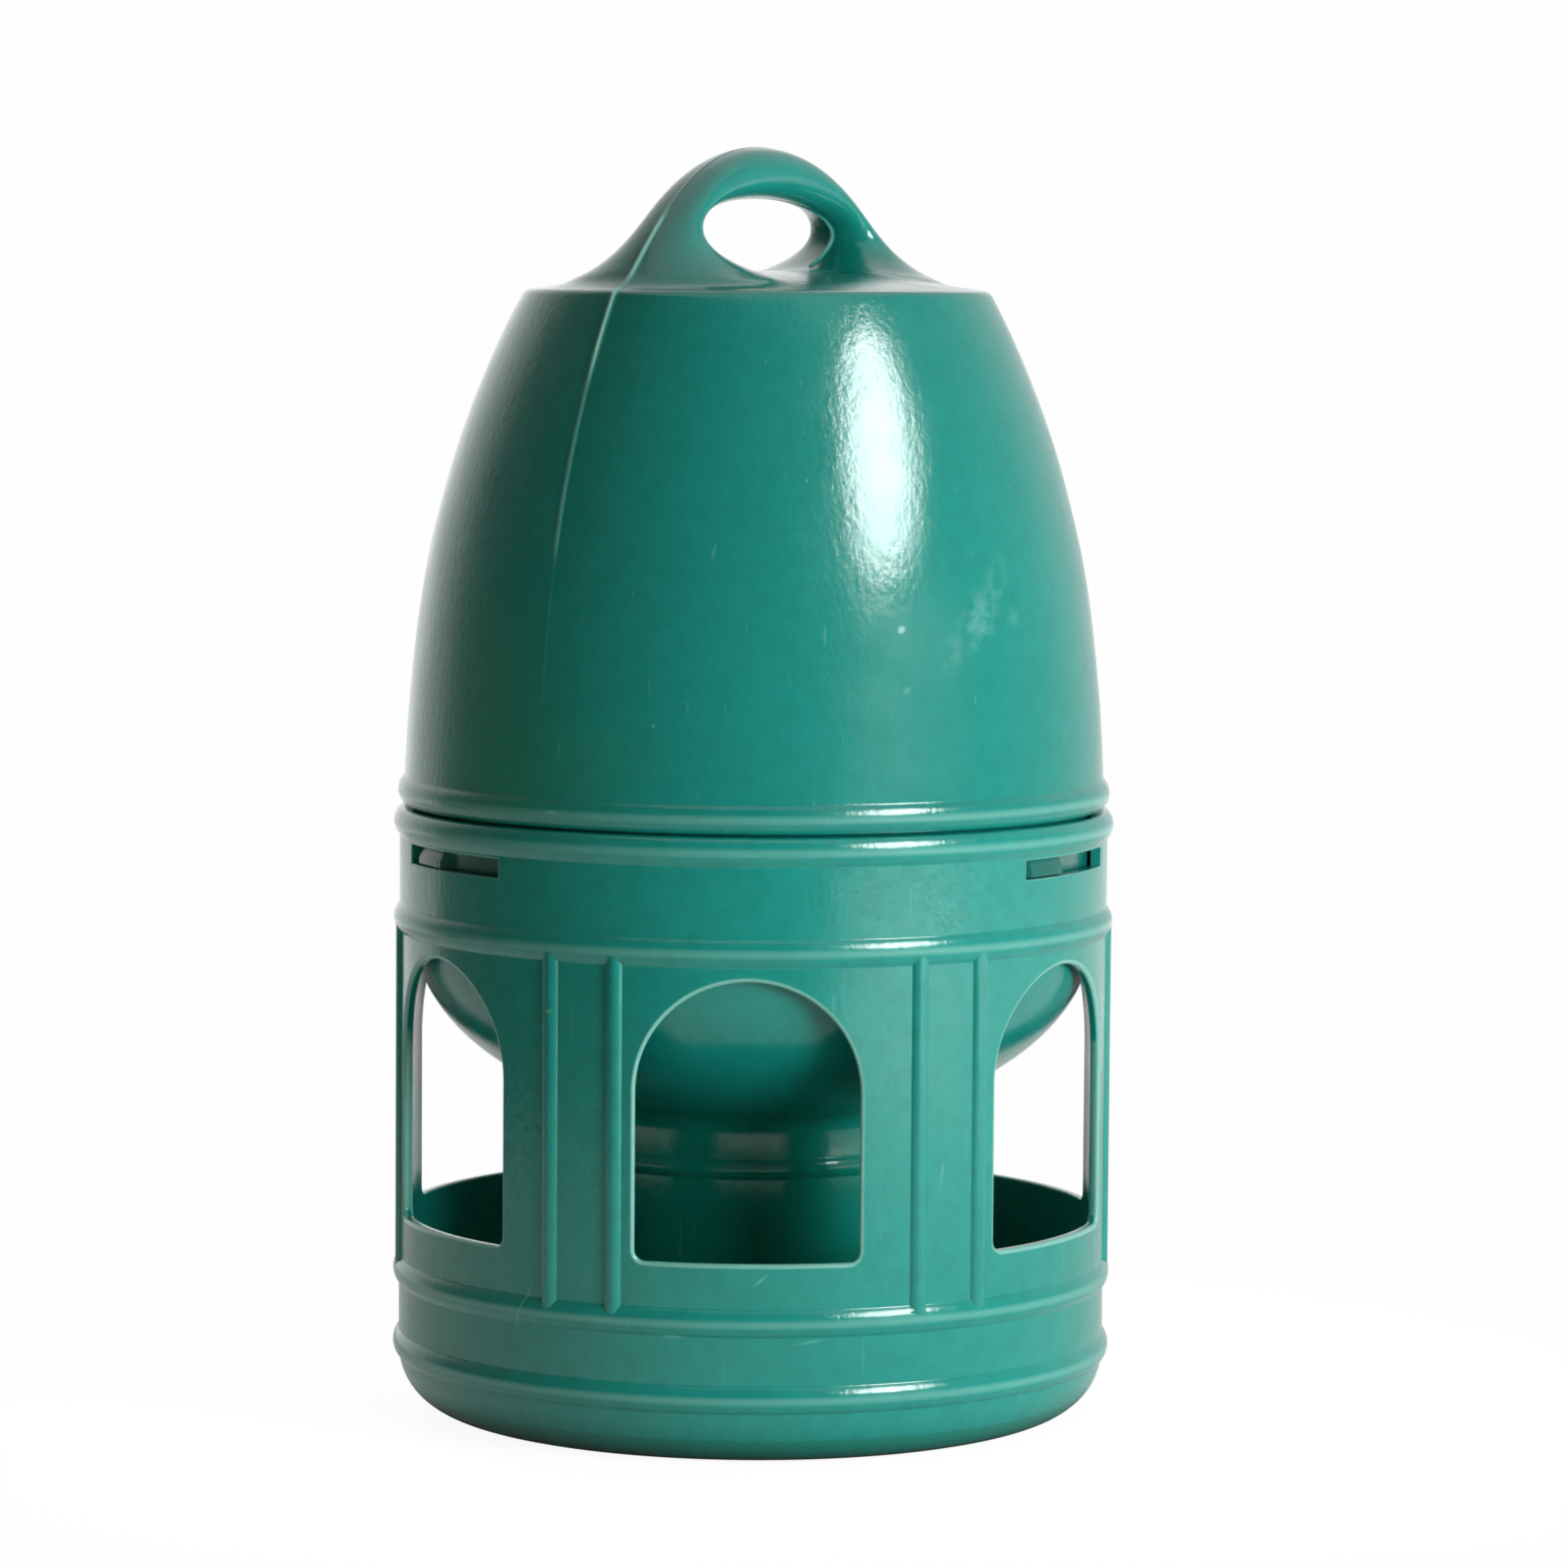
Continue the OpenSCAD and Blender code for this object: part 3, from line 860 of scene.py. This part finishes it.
lug_tree, given = new_tree("Round the axis", Copies="Int", First_turn="Float", Material="Material")
put = given.outputs
spots = add(lug_tree, "GeometryNodeMeshLine", {"Count": put["Copies"], "Offset": (0, 0, 0)})
step = maths(lug_tree, "DIVIDE", 360.0, put["Copies"])
number = add(lug_tree, "GeometryNodeInputIndex").outputs[0]
turn = maths(lug_tree, "RADIANS", maths(
    lug_tree, "ADD", put["First turn"], maths(lug_tree, "MULTIPLY", number, step)))
turn = add(lug_tree, "ShaderNodeCombineXYZ", {"Z": turn}).outputs[0]
copies = add(lug_tree, "GeometryNodeInstanceOnPoints",
             {"Points": spots.outputs[0], "Instance": put["Geometry"], "Rotation": turn})
finish_tree(lug_tree, copies.outputs[0], put["Material"])
grow(lugs, lug_tree, Copies=lug_count, First_turn=lug_turn, Material=bottle_plastic)
print("lugs:", len(lugs.data.polygons), "faces")

# %% [markdown]
# Handle and lugs are joined to the turned wall with exact booleans. Where the handle's feet meet
# the top, the real moulding has no crease at all, so the points near the join are relaxed: each
# moves towards the middle of its neighbours, fully at the join and less further away. Close to
# the axis the columns of the parting line crowd together, and are merged first.

# %% Join the reservoir
handle.data.materials.clear()
handle.data.materials.append(bottle_plastic)
for thing in (reservoir, handle):
    thing.data.attributes.new("of_handle", "FLOAT", "FACE")
handle.data.attributes["of_handle"].data.foreach_set("value", [1.0] * len(handle.data.polygons))
for part in (handle, lugs):
    union = reservoir.modifiers.new("join", "BOOLEAN")
    union.operation = "UNION"
    union.solver = "EXACT"
    union.object = part
settle(reservoir)
for part in (handle, lugs):
    bpy.data.objects.remove(part)
print("joined reservoir:", len(reservoir.data.polygons), "faces")


# %% Clean the join
# Near the axis, points of crowded columns that are closer than this fall together
crowd_r, crowd_gap = 26, 0.12


def ramp(values, low, high):
    """Eases from 0 to 1 while values go from low to high."""
    t = np.clip((values - low) / (high - low), 0, 1)
    return t * t * (3 - 2 * t)


def foot_line(faces_layer):
    """Points where faces of the handle and of the top meet."""
    return [v for v in build.verts
            if v.co.z > top_z - 3 and len({round(f[faces_layer]) for f in v.link_faces}) == 2]


build = bmesh.new()
build.from_mesh(reservoir.data)
of_handle = build.faces.layers.float["of_handle"]
bmesh.ops.remove_doubles(build, verts=build.verts, dist=1e-3)
bmesh.ops.remove_doubles(build, verts=foot_line(of_handle), dist=0.3)
crowded = [v for v in build.verts if v.co.z > top_z + 0.5 and v.co.xy.length < crowd_r]
bmesh.ops.remove_doubles(build, verts=crowded, dist=crowd_gap)
bmesh.ops.dissolve_degenerate(build, edges=build.edges, dist=1e-3)
join = foot_line(of_handle)
around = once_each(f for v in join for f in v.link_faces)
around = once_each(f for face in around for v in face.verts for f in v.link_faces)
cut = bmesh.ops.triangulate(build, faces=around)
bmesh.ops.beautify_fill(build, faces=cut["faces"], edges=cut["edges"])
build.verts.index_update()
print("join:", len(join), "points, with", len(around), "faces round it")

# %% Relax the join
relax_share, relax_reach, relax_turns = 0.8, 6, 40
join_at = np.array([v.co for v in join])
points = np.array([v.co for v in build.verts])
near = np.where(points[:, 2] > top_z + 0.2)[0]
gaps = np.full(len(points), 99.0)
for start in range(0, len(near), 2000):
    some = near[start:start + 2000]
    gaps[some] = np.linalg.norm(points[some][:, None] - join_at[None], axis=2).min(1)
share = relax_share * (1 - ramp(gaps, 0, relax_reach))
edges = np.array([[v.index for v in e.verts] for e in build.edges])
for _ in range(relax_turns):
    total, count = np.zeros_like(points), np.zeros(len(points))
    for a, b in ((0, 1), (1, 0)):
        np.add.at(total, edges[:, a], points[edges[:, b]])
        np.add.at(count, edges[:, a], 1)
    points += (total / count[:, None] - points) * share[:, None]
for vert, place in zip(build.verts, points):
    vert.co = place
print("relaxed points:", int((share > 0).sum()))

# %% [markdown]
# The parting line of the mould runs over the handle, the top and the dome in one plane. Near the
# handle a wide pale band along it is a painted highlight, brighter on its front side. Lower down it
# fades. The ridge lifts the points next to the plane along their own normals, and the painted
# highlight is a number on them that the finish reads.

# %% Parting line
ridge_height, ridge_half, ridge_highlight_half = 0.52, 0.5, 0.85
opening_foot, opening_half = 6, 20
build.normal_update()
normals = np.array([v.normal for v in build.verts])
plane = math.radians(handle_turn)
off_plane = np.abs(points[:, 0] * math.cos(plane) + points[:, 1] * math.sin(plane))
ahead = points[:, 0] * math.sin(plane) - points[:, 1] * math.cos(plane)
profile = np.clip(1 - (off_plane / ridge_half) ** 2, 0, 1) ** 1.2
ridge_highlight_profile = np.clip(1 - (off_plane / ridge_highlight_half) ** 2, 0, 1)
upper = ramp(points[:, 2], top_z - 26, top_z - 12)
lower = ramp(points[:, 2], top_z - 60, top_z - 54)
faint = ramp(points[:, 2], top_z - 92, top_z - 84)
strength = np.maximum(upper, np.maximum(0.45 * lower, 0.15 * faint))
on_top = points[:, 2] > top_z - 1.2
facing_out = (normals[:, :2] * points[:, :2]).sum(1) > 0
from_axis = np.hypot(points[:, 0], points[:, 1])
in_opening = (points[:, 2] < top_z + opening_foot) & (from_axis < opening_half)
outer_side = (on_top | facing_out) & ~in_opening
into_grip = ramp(points[:, 2], top_z + 14, top_z + 20)
strength *= 1 - 0.75 * into_grip
lift = ridge_height * profile * strength * outer_side
# A painted highlight along the parting line near the handle, brighter on the side that faces front
ridge_highlight = ridge_highlight_profile * np.where(ahead > 0, 1, 0.4) * outer_side
ridge_highlight *= np.maximum(ramp(points[:, 2], top_z - 26, top_z - 14), 0.35 * lower)
ridge_highlight *= 1 - into_grip
# The dome bead's crest gets the same painted highlight line as the base's beads
on_bead = np.abs(points[:, 2] - dome_bead_z) < bead_h / 2
pale = np.maximum(ridge_highlight, crest_highlight(points, dome_bead_r) * on_bead)
lip_layer = build.verts.layers.float.new("lip")
for vert, place, raise_by, value in zip(build.verts, points, lift, pale):
    vert.co = place + np.array(vert.normal) * raise_by
    vert[lip_layer] = value
build.to_mesh(reservoir.data)
build.free()
print("parting line:", int((lift > 0).sum()), "points raised")

# %% Finish the reservoir's mesh
mesh = reservoir.data
mesh.transform(Matrix.Scale(MM, 4))
mesh.polygons.foreach_set("use_smooth", [True] * len(mesh.polygons))
mesh.set_sharp_from_angle(angle=math.radians(sharp_turn))
# Above its bead the dome has no sharp edge: its top's edge and the parting line are rounded
sharp = mesh.attributes["sharp_edge"].data
for edge in mesh.edges:
    if mesh.vertices[edge.vertices[0]].co.z > (shoulder_z + 10) * MM:
        sharp[edge.index].value = False
mesh.attributes.remove(mesh.attributes["of_handle"])
reservoir.name = "domed_reservoir"
mesh.name = "domed_reservoir"


def open_edges(mesh):
    """Edges that don't have exactly two faces. A closed mesh has none."""
    count = np.zeros(len(mesh.edges), int)
    for polygon in mesh.polygons:
        for key in polygon.loop_indices:
            count[mesh.loops[key].edge_index] += 1
    return int((count != 2).sum())


print("open edges: base", open_edges(base_mesh), "reservoir", open_edges(mesh))

# %% [markdown]
# Both mouldings are polythene in one teal green. It is glossy, so most of what the eye reads is
# reflection, but the surface is not perfect. Its colour drifts a little and is speckled, its gloss
# is patchy, a fine drawn grain breaks up the edges of highlights, and scratches run over it. Lips
# are paler, partly from wear and partly as a painted highlight, and bead crests and the parting
# line carry a painted highlight in the same pale colour. Painted shade darkens the inside of the
# tray, the foot of the neck and the skirt inside the rim, in bands by height or by distance from
# the axis. Single marks of wear are soft spots at a direction and a height on the wall. A smear is
# such a spot that a cloudy noise has torn, and a painted shade tint is a wide one where the green
# of the shaded side is yellower.


# %% Helpers for finishes
def mix_colour(tree, factor, a, b):
    """Mixes two colours or sockets."""
    return add(tree, "ShaderNodeMix", {"Factor": factor, "A": a, "B": b},
               data_type="RGBA").outputs["Result"]


def mark_on(tree, place, radius, turn, height, tilt, long, wide):
    """A soft spot on the wall, 1 in its middle, stretched along a tilted line."""
    a = math.radians(turn)
    middle = (radius * MM * math.sin(a), -radius * MM * math.cos(a), height * MM)
    moved = add(tree, "ShaderNodeMapping",
                {"Vector": place, "Location": middle, "Rotation": (0, math.radians(tilt), a),
                 "Scale": (wide * MM, max(wide, 3) * MM, long * MM)}, vector_type="TEXTURE")
    spot = add(tree, "ShaderNodeTexGradient", {"Vector": moved.outputs[0]},
               gradient_type="SPHERICAL")
    return ease(tree, spot.outputs["Fac"], 0.0, 0.8)


def scratches(tree, place, tilt, seed, fineness, stretch, rarity):
    """Thin lines that run one way, from a noise that is stretched along them."""
    turned = add(tree, "ShaderNodeMapping",
                 {"Vector": place, "Rotation": (math.radians(tilt), math.radians(tilt * 0.7), 0),
                  "Scale": (1, 1, 1 / stretch)})
    lines = add(tree, "ShaderNodeTexNoise",
                {"Vector": turned.outputs[0], "W": seed, "Scale": fineness, "Detail": 1.0},
                noise_dimensions="4D")
    return ease(tree, lines.outputs[0], rarity, rarity + 0.06)


print("finish helpers ready")

# %% Teal colour
teal_dark, teal_light = (0.006, 0.27, 0.228), (0.012, 0.325, 0.28)
# The speck colour, and the yellower green of the painted shade tints
teal_speck, shade_yellow_green = (0.004, 0.2, 0.165, 1), (0.03, 0.29, 0.13, 1)


def teal_colour(tree, place, seed, tone, shade_bands, shade_tints):
    """The plastic's own colour with its drift and specks, plus bands and wide spots of painted
    shade.
    """
    drift = add(tree, "ShaderNodeTexNoise",
                {"Vector": place, "W": seed, "Scale": 16.0, "Detail": 3.0}, noise_dimensions="4D")
    colour = mix_colour(tree, drift.outputs[0],
                        (*(tone * c for c in teal_dark), 1), (*(tone * c for c in teal_light), 1))
    mottle = add(tree, "ShaderNodeTexNoise",
                 {"Vector": place, "W": seed, "Scale": 230.0, "Detail": 4.0},
                 noise_dimensions="4D")
    colour = mix_colour(tree, ease(tree, mottle.outputs[0], 0.35, 0.8, 0.0, 0.35),
                        colour, teal_speck)

    flat_place = add(tree, "ShaderNodeVectorMath", {0: place, 1: (1, 1, 0)}, operation="MULTIPLY")
    across = add(tree, "ShaderNodeVectorMath", {0: flat_place.outputs[0]}, operation="LENGTH")
    up = add(tree, "ShaderNodeSeparateXYZ", {0: place}).outputs["Z"]
    measures = {"radius": across.outputs["Value"], "height": up}
    # Bands of painted shade: inside the tray, at the foot of the neck and on the skirt seen through
    # the slots
    for measure, low, high, soft, depth, tint in shade_bands:
        inside = maths(tree, "MULTIPLY",
                       ease(tree, measures[measure], (low - soft) * MM, low * MM),
                       ease(tree, measures[measure], high * MM, (high + soft) * MM, 1.0, 0.0))
        colour = mix_colour(tree, maths(tree, "MULTIPLY", inside, depth), colour, tint)

    # Wide spots of painted shade tint, where the shaded left of the dome is yellower
    for radius, turn, height, tilt, long, wide, depth in shade_tints:
        shade_tint = mark_on(tree, place, radius, turn, height, tilt, long, wide)
        colour = mix_colour(tree, maths(tree, "MULTIPLY", shade_tint, depth), colour, shade_yellow_green)
    return colour


print("teal from", teal_dark, "to", teal_light)

# %% Wear on the plastic
# Pale colour of lips, partly wear and partly a painted highlight, and of the painted highlight on
# bead crests and the parting line
pale_wear_and_highlight, pale_wear = (0.30, 0.68, 0.60, 1), (0.28, 0.62, 0.55, 1)


def wear_on(tree, place, seed, marks, smears):
    """Scratches by themselves, and the strongest of scratches, dust, marks and smears."""
    worn = scratches(tree, place, 18, seed, 900.0, 20.0, 0.735)
    worn = maths(tree, "MAXIMUM", worn, scratches(tree, place, -64, seed + 3, 900.0, 24.0, 0.735))
    cells = add(tree, "ShaderNodeTexVoronoi", {"Vector": place, "Scale": 95.0})
    dust = ease(tree, cells.outputs["Distance"], 0.025, 0.05, 1.0, 0.0)
    picked = add(tree, "ShaderNodeSeparateColor", {"Color": cells.outputs["Color"]})
    dust = maths(tree, "MULTIPLY", dust, maths(tree, "GREATER_THAN", picked.outputs[0], 0.93))
    wear = maths(tree, "MAXIMUM", maths(tree, "MULTIPLY", worn, 0.16),
                 maths(tree, "MULTIPLY", dust, 0.3))
    for radius, turn, height, tilt, long, wide, depth in marks:
        spot = mark_on(tree, place, radius, turn, height, tilt, long, wide)
        wear = maths(tree, "MAXIMUM", wear, maths(tree, "MULTIPLY", spot, depth))
    cloud = add(tree, "ShaderNodeTexNoise", {"Vector": place, "Scale": 300.0, "Detail": 3.0})
    ragged = ease(tree, cloud.outputs[0], 0.36, 0.62)
    for radius, turn, height, tilt, long, wide, depth in smears:
        spot = mark_on(tree, place, radius, turn, height, tilt, long, wide)
        smear = maths(tree, "MULTIPLY", maths(tree, "MULTIPLY", spot, ragged), depth)
        wear = maths(tree, "MAXIMUM", wear, smear)
    return worn, wear


print("lips go towards", pale_wear_and_highlight)

# %% Teal polythene
def polythene(material, seed, tone, marks, shade_bands, shade_tints=(), smears=()):
    """Fills a material with glossy moulded polythene that has marks and smears, painted shade and
    painted highlights.
    """
    material.use_nodes = True
    tree = material.node_tree
    tree.nodes.clear()
    place = add(tree, "ShaderNodeTexCoord").outputs["Object"]
    shader = add(tree, "ShaderNodeBsdfPrincipled", {"IOR": 1.54})
    add(tree, "ShaderNodeOutputMaterial", {"Surface": shader.outputs[0]})

    colour = teal_colour(tree, place, seed, tone, shade_bands, shade_tints)
    lip = add(tree, "ShaderNodeAttribute", attribute_name="lip")
    # Lips are paler from wear and a painted highlight; bead crests and the parting line get a
    # painted highlight
    colour = mix_colour(tree, maths(tree, "MULTIPLY", lip.outputs["Fac"], 0.75), colour, pale_wear_and_highlight)
    worn, wear = wear_on(tree, place, seed, marks, smears)
    colour = mix_colour(tree, wear, colour, pale_wear)
    tree.links.new(colour, shader.inputs["Base Color"])

    patches = add(tree, "ShaderNodeTexNoise", {"Vector": place, "Scale": 55.0, "Detail": 4.0})
    gloss = ease(tree, patches.outputs[0], 0.3, 0.75, 0.125, 0.215)
    gloss = maths(tree, "ADD", gloss, maths(tree, "MULTIPLY", wear, 0.3))
    tree.links.new(gloss, shader.inputs["Roughness"])

    drawn = add(tree, "ShaderNodeMapping", {"Vector": place, "Scale": (1, 1, 0.55)})
    grain = add(tree, "ShaderNodeTexNoise",
                {"Vector": drawn.outputs[0], "Scale": 620.0, "Detail": 4.0, "Roughness": 0.6})
    skin = add(tree, "ShaderNodeBump",
               {"Height": grain.outputs[0], "Strength": 1.0, "Distance": 0.00009})
    cuts = add(tree, "ShaderNodeBump",
               {"Height": worn, "Strength": 0.6, "Distance": 0.00003,
                "Normal": skin.outputs[0]}, invert=True)
    tree.links.new(cuts.outputs[0], shader.inputs["Normal"])


print("polythene ready")

# %% Finish of each moulding
# A mark, smear or painted shade tint is radius, direction, height, tilt, half length, half width and
# depth.
# A band of painted shade is what is measured, its low end, high end and softness, its depth and its
# tint.
base_marks = [
    (80, -38, 33, 24, 7.5, 0.45, 0.45), (80, 1.5, 41.5, 50, 2.8, 0.5, 0.34),
    (80, -12, 29, 90, 3.6, 0.6, 0.3), (80, -33, 98, 80, 1.3, 0.6, 0.5),
    (80, 9, 28, 80, 5.5, 0.45, 0.2), (80, 31, 63, 8, 4.5, 0.4, 0.25),
]
bottle_marks = [
    (75, 24.5, 181, 60, 1.4, 1.1, 0.75), (76, 25, 168, 60, 1.5, 1.1, 0.3),
    (79.5, -33, 141, 88, 2.4, 0.5, 0.6), (70, -5, 222, 16, 4.0, 0.4, 0.4),
    (74, -7, 198, 14, 3.2, 0.4, 0.35), (76, 14, 158, -20, 4.5, 0.35, 0.25),
    (77, -52, 186, 12, 3.0, 0.5, 0.3), (64, 18, 240, 75, 5.0, 0.3, 0.3),
]
# Colours of painted shade: inside the tray and at the neck's foot, and on the skirt inside the rim
painted_inner_shade, painted_skirt_shade = (0.005, 0.2, 0.125, 1), (0.003, 0.075, 0.062, 1)
base_shade_bands = [("radius", -1, base_bore - 0.3, 0.4, 0.45, painted_inner_shade)]
polythene(base_plastic, 1.0, 1.06, base_marks, base_shade_bands)
# Painted shade tints on the shaded left side of the dome
painted_shade_tints = [(78, -55, 158, 10, 42, 42, 0.4), (78, -32, 150, 80, 32, 15, 0.2)]
pale_smears = [(76.5, 40, 183, 35, 11, 7, 0.26), (75.5, 45, 192, 25, 9, 4.5, 0.2),
               (77.5, 34, 176, 20, 7, 4, 0.14), (77, 48, 183, 10, 4, 3, 0.22)]
bottle_shade_bands = [("height", 0, neck_bead_z + 7, 15, 0.45, painted_inner_shade),
                 ("height", bowl_z + 14, shoulder_z - 0.3, 0.3, 0.6, painted_skirt_shade)]
polythene(bottle_plastic, 7.0, 0.94, bottle_marks, bottle_shade_bands, painted_shade_tints, pale_smears)
print("finishes:", base_plastic.name, bottle_plastic.name)

# %% [markdown]
# The light is a studio's: a soft box to the right of the camera. Its reflection makes the tall
# white highlight on the dome, and a weaker, wider lamp round it gives that highlight its halo. The
# colour itself is lit from lower down, as the photograph's handle and bottom edge show, so a wide
# low lamp that gloss doesn't see does most of that work, and a weaker one lights the rear. Gloss
# also mirrors the room. Two curved screens, which only gloss can see, stand in for it: a dark one
# in front and to the left, and a paler one round the right and the back. Their brightness by
# direction was judged from the wall's reflections in the photograph.


# %% Lamps
def soft_light(name, turn, rise, distance, width, height, lean, power):
    """An oval soft box that faces the drinker from a direction, with its top leant right."""
    data = bpy.data.lights.new(name, "AREA")
    data.shape = "ELLIPSE"
    data.size = width
    data.size_y = height
    data.energy = power
    lamp = bpy.data.objects.new(name, data)
    scene.collection.objects.link(lamp)
    aim = Vector((0, 0, 0.18))
    a, e = math.radians(turn), math.radians(rise)
    back = Vector((math.sin(a) * math.cos(e), -math.cos(a) * math.cos(e), math.sin(e)))
    lamp.location = aim + back * distance
    lamp.rotation_mode = "QUATERNION"
    lamp.rotation_quaternion = (-back).to_track_quat("-Z", "Y")
    lamp.rotation_quaternion @= Quaternion((0, 0, 1), math.radians(lean))
    lamp.visible_camera = False
    return lamp


key = soft_light("key_soft_box", 50.6, 31.5, 1.2, 0.46, 0.72, -38, 17.0)
halo = soft_light("key_halo", 50, 31, 1.22, 0.75, 0.85, -30, 0.4)
fill = soft_light("low_fill", 50, 5, 1.2, 0.9, 0.5, 0, 13.6)
back_fill = soft_light("back_fill", 205, 28, 1.3, 0.9, 0.6, 0, 4.6)
key.visible_diffuse = False
halo.visible_diffuse = False
fill.visible_glossy = False
back_fill.visible_glossy = False

# %% Ambient light
world = bpy.data.worlds.new("studio")
scene.world = world
world.use_nodes = True
tree = world.node_tree
tree.nodes.clear()
rays = add(tree, "ShaderNodeLightPath")
seen = maths(tree, "MAXIMUM", rays.outputs["Is Camera Ray"], rays.outputs["Is Glossy Ray"])
ambient = mix_colour(tree, seen, (0.12, 0.12, 0.088, 1), (0.99, 0.99, 0.99, 1))
sky = add(tree, "ShaderNodeBackground", {"Color": ambient})
add(tree, "ShaderNodeOutputWorld", {"Surface": sky.outputs[0]})
print("world:", world.name)

# %% [markdown]
# The background is plain white. The floor must not show, yet the drinker has to stand on
# something. So the floor answers each kind of ray in its own way: to the camera it is white with
# only a hint of shadow, and fades out before its edge. Gloss sees it lit and shadowed, with a
# painted glow that grows away from the drinker, and it throws some light back on the drinker.
# Under the foot and close to it, painted shade makes it dark to all but the camera, as the ground
# under a heavy object is.

# %% Floor
floor_half = 3.0
floor_mesh = bpy.data.meshes.new("floor")
floor_mesh.from_pydata([(-floor_half, -floor_half, 0), (floor_half, -floor_half, 0),
                        (floor_half, floor_half, 0), (-floor_half, floor_half, 0)],
                       [], [(0, 1, 2, 3)])
floor = new_object("floor", floor_mesh)
floor_paint = bpy.data.materials.new("floor_paint")
floor_paint.use_nodes = True
tree = floor_paint.node_tree
tree.nodes.clear()
rays = add(tree, "ShaderNodeLightPath")
to_camera, to_gloss = rays.outputs["Is Camera Ray"], rays.outputs["Is Glossy Ray"]
where = add(tree, "ShaderNodeTexCoord").outputs["Object"]
from_middle = add(tree, "ShaderNodeVectorMath", {0: where}, operation="LENGTH").outputs["Value"]
# Metres from the middle over which the foot's shade ends, the camera's white fades out and the
# floor grows brighter to gloss
foot_shade, white_fade, glow_rise = (0.068, 0.09), (0.1, 0.26), (0.45, 0.8)
# Painted shade on the floor under and close to the foot
contact = ease(tree, from_middle, *foot_shade, 0.08, 1.0)
albedo = maths(tree, "MAXIMUM", maths(tree, "MULTIPLY", to_camera, 0.2),
               maths(tree, "MULTIPLY", maths(tree, "SUBTRACT", 0.85, to_camera), contact))
# A painted glow that gloss sees, brighter further out and dark at the foot
far_glow = ease(tree, from_middle, *glow_rise, 0.32, 0.75)
far_glow = maths(tree, "MULTIPLY", far_glow, contact)
glow = maths(tree, "ADD", maths(tree, "MULTIPLY", to_gloss, far_glow),
             maths(tree, "MULTIPLY", to_camera, 0.93))
grey = add(tree, "ShaderNodeCombineColor", {0: albedo, 1: albedo, 2: albedo})
matt = add(tree, "ShaderNodeBsdfDiffuse", {"Color": grey.outputs[0]})
shine = add(tree, "ShaderNodeEmission", {"Strength": glow})
lit = add(tree, "ShaderNodeAddShader", {0: matt.outputs[0], 1: shine.outputs[0]})
fade = maths(tree, "MULTIPLY", to_camera, ease(tree, from_middle, *white_fade))
clear = add(tree, "ShaderNodeBsdfTransparent")
paint = add(tree, "ShaderNodeMixShader", {0: fade, 1: lit.outputs[0], 2: clear.outputs[0]})
add(tree, "ShaderNodeOutputMaterial", {"Surface": paint.outputs[0]})
floor_mesh.materials.append(floor_paint)
print("floor:", floor.name)


# %% Screens that gloss mirrors
def screen(name, radius, height, first, last, levels):
    """A curved screen for gloss alone, whose brightness goes by direction from the front."""
    turns = np.arange(first, last + 1, 2.0)
    count = len(turns)
    places = [(radius * math.sin(a), -radius * math.cos(a), z)
              for z in (0.001, height) for a in np.radians(turns)]
    mesh = bpy.data.meshes.new(name)
    mesh.from_pydata(places, [], [(k, k + 1, k + count + 1, k + count) for k in range(count - 1)])
    shades = np.interp(turns, [turn for turn, level in levels], [level for turn, level in levels])
    shade = mesh.attributes.new("shade", "FLOAT", "POINT")
    shade.data.foreach_set("value", np.tile(shades, 2).tolist())
    paint = bpy.data.materials.new(name + "_paint")
    paint.use_nodes = True
    paint.node_tree.nodes.clear()
    level = add(paint.node_tree, "ShaderNodeAttribute", attribute_name="shade")
    lit = add(paint.node_tree, "ShaderNodeEmission", {"Strength": level.outputs["Fac"]})
    add(paint.node_tree, "ShaderNodeOutputMaterial", {"Surface": lit.outputs[0]})
    mesh.materials.append(paint)
    made = new_object(name, mesh)
    made.visible_camera = False
    made.visible_diffuse = False
    made.visible_shadow = False
    return made


# Each level is a direction in degrees and a brightness
front_screen = screen("front_screen", 0.55, 1.05, -116, 24, [
    (-116, 0.36), (-108, 0.24), (-90, 0.13), (-70, 0.07), (-50, 0.09), (-30, 0.08), (-10, 0.12),
    (10, 0.16), (24, 0.3)])
room_screen = screen("room_screen", 1.7, 2.4, 24, 244, [
    (24, 0.2), (34, 0.2), (46, 0.3), (54, 0.3), (64, 0.25), (90, 0.4), (110, 0.5), (128, 0.75),
    (160, 0.8), (185, 1.4), (200, 1.25), (215, 1.1), (230, 0.8), (244, 0.36)])
scene.view_settings.view_transform = "Standard"
print("stage:", floor.name, front_screen.name, room_screen.name)

# %% [markdown]
# Last, each piece is tied to the body of the CAD model it moves with, and the CAD node it stands
# in for is hidden. The twist of the reservoir then carries its piece along.

# %% Tie the pieces to the frame
for piece, body, node, slot in (
        (base_piece, "base", "drinking_base", "base_plastic"),
        (reservoir, "bottle", "reservoir", "reservoir_plastic")):
    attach(piece, body)
    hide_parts(node)
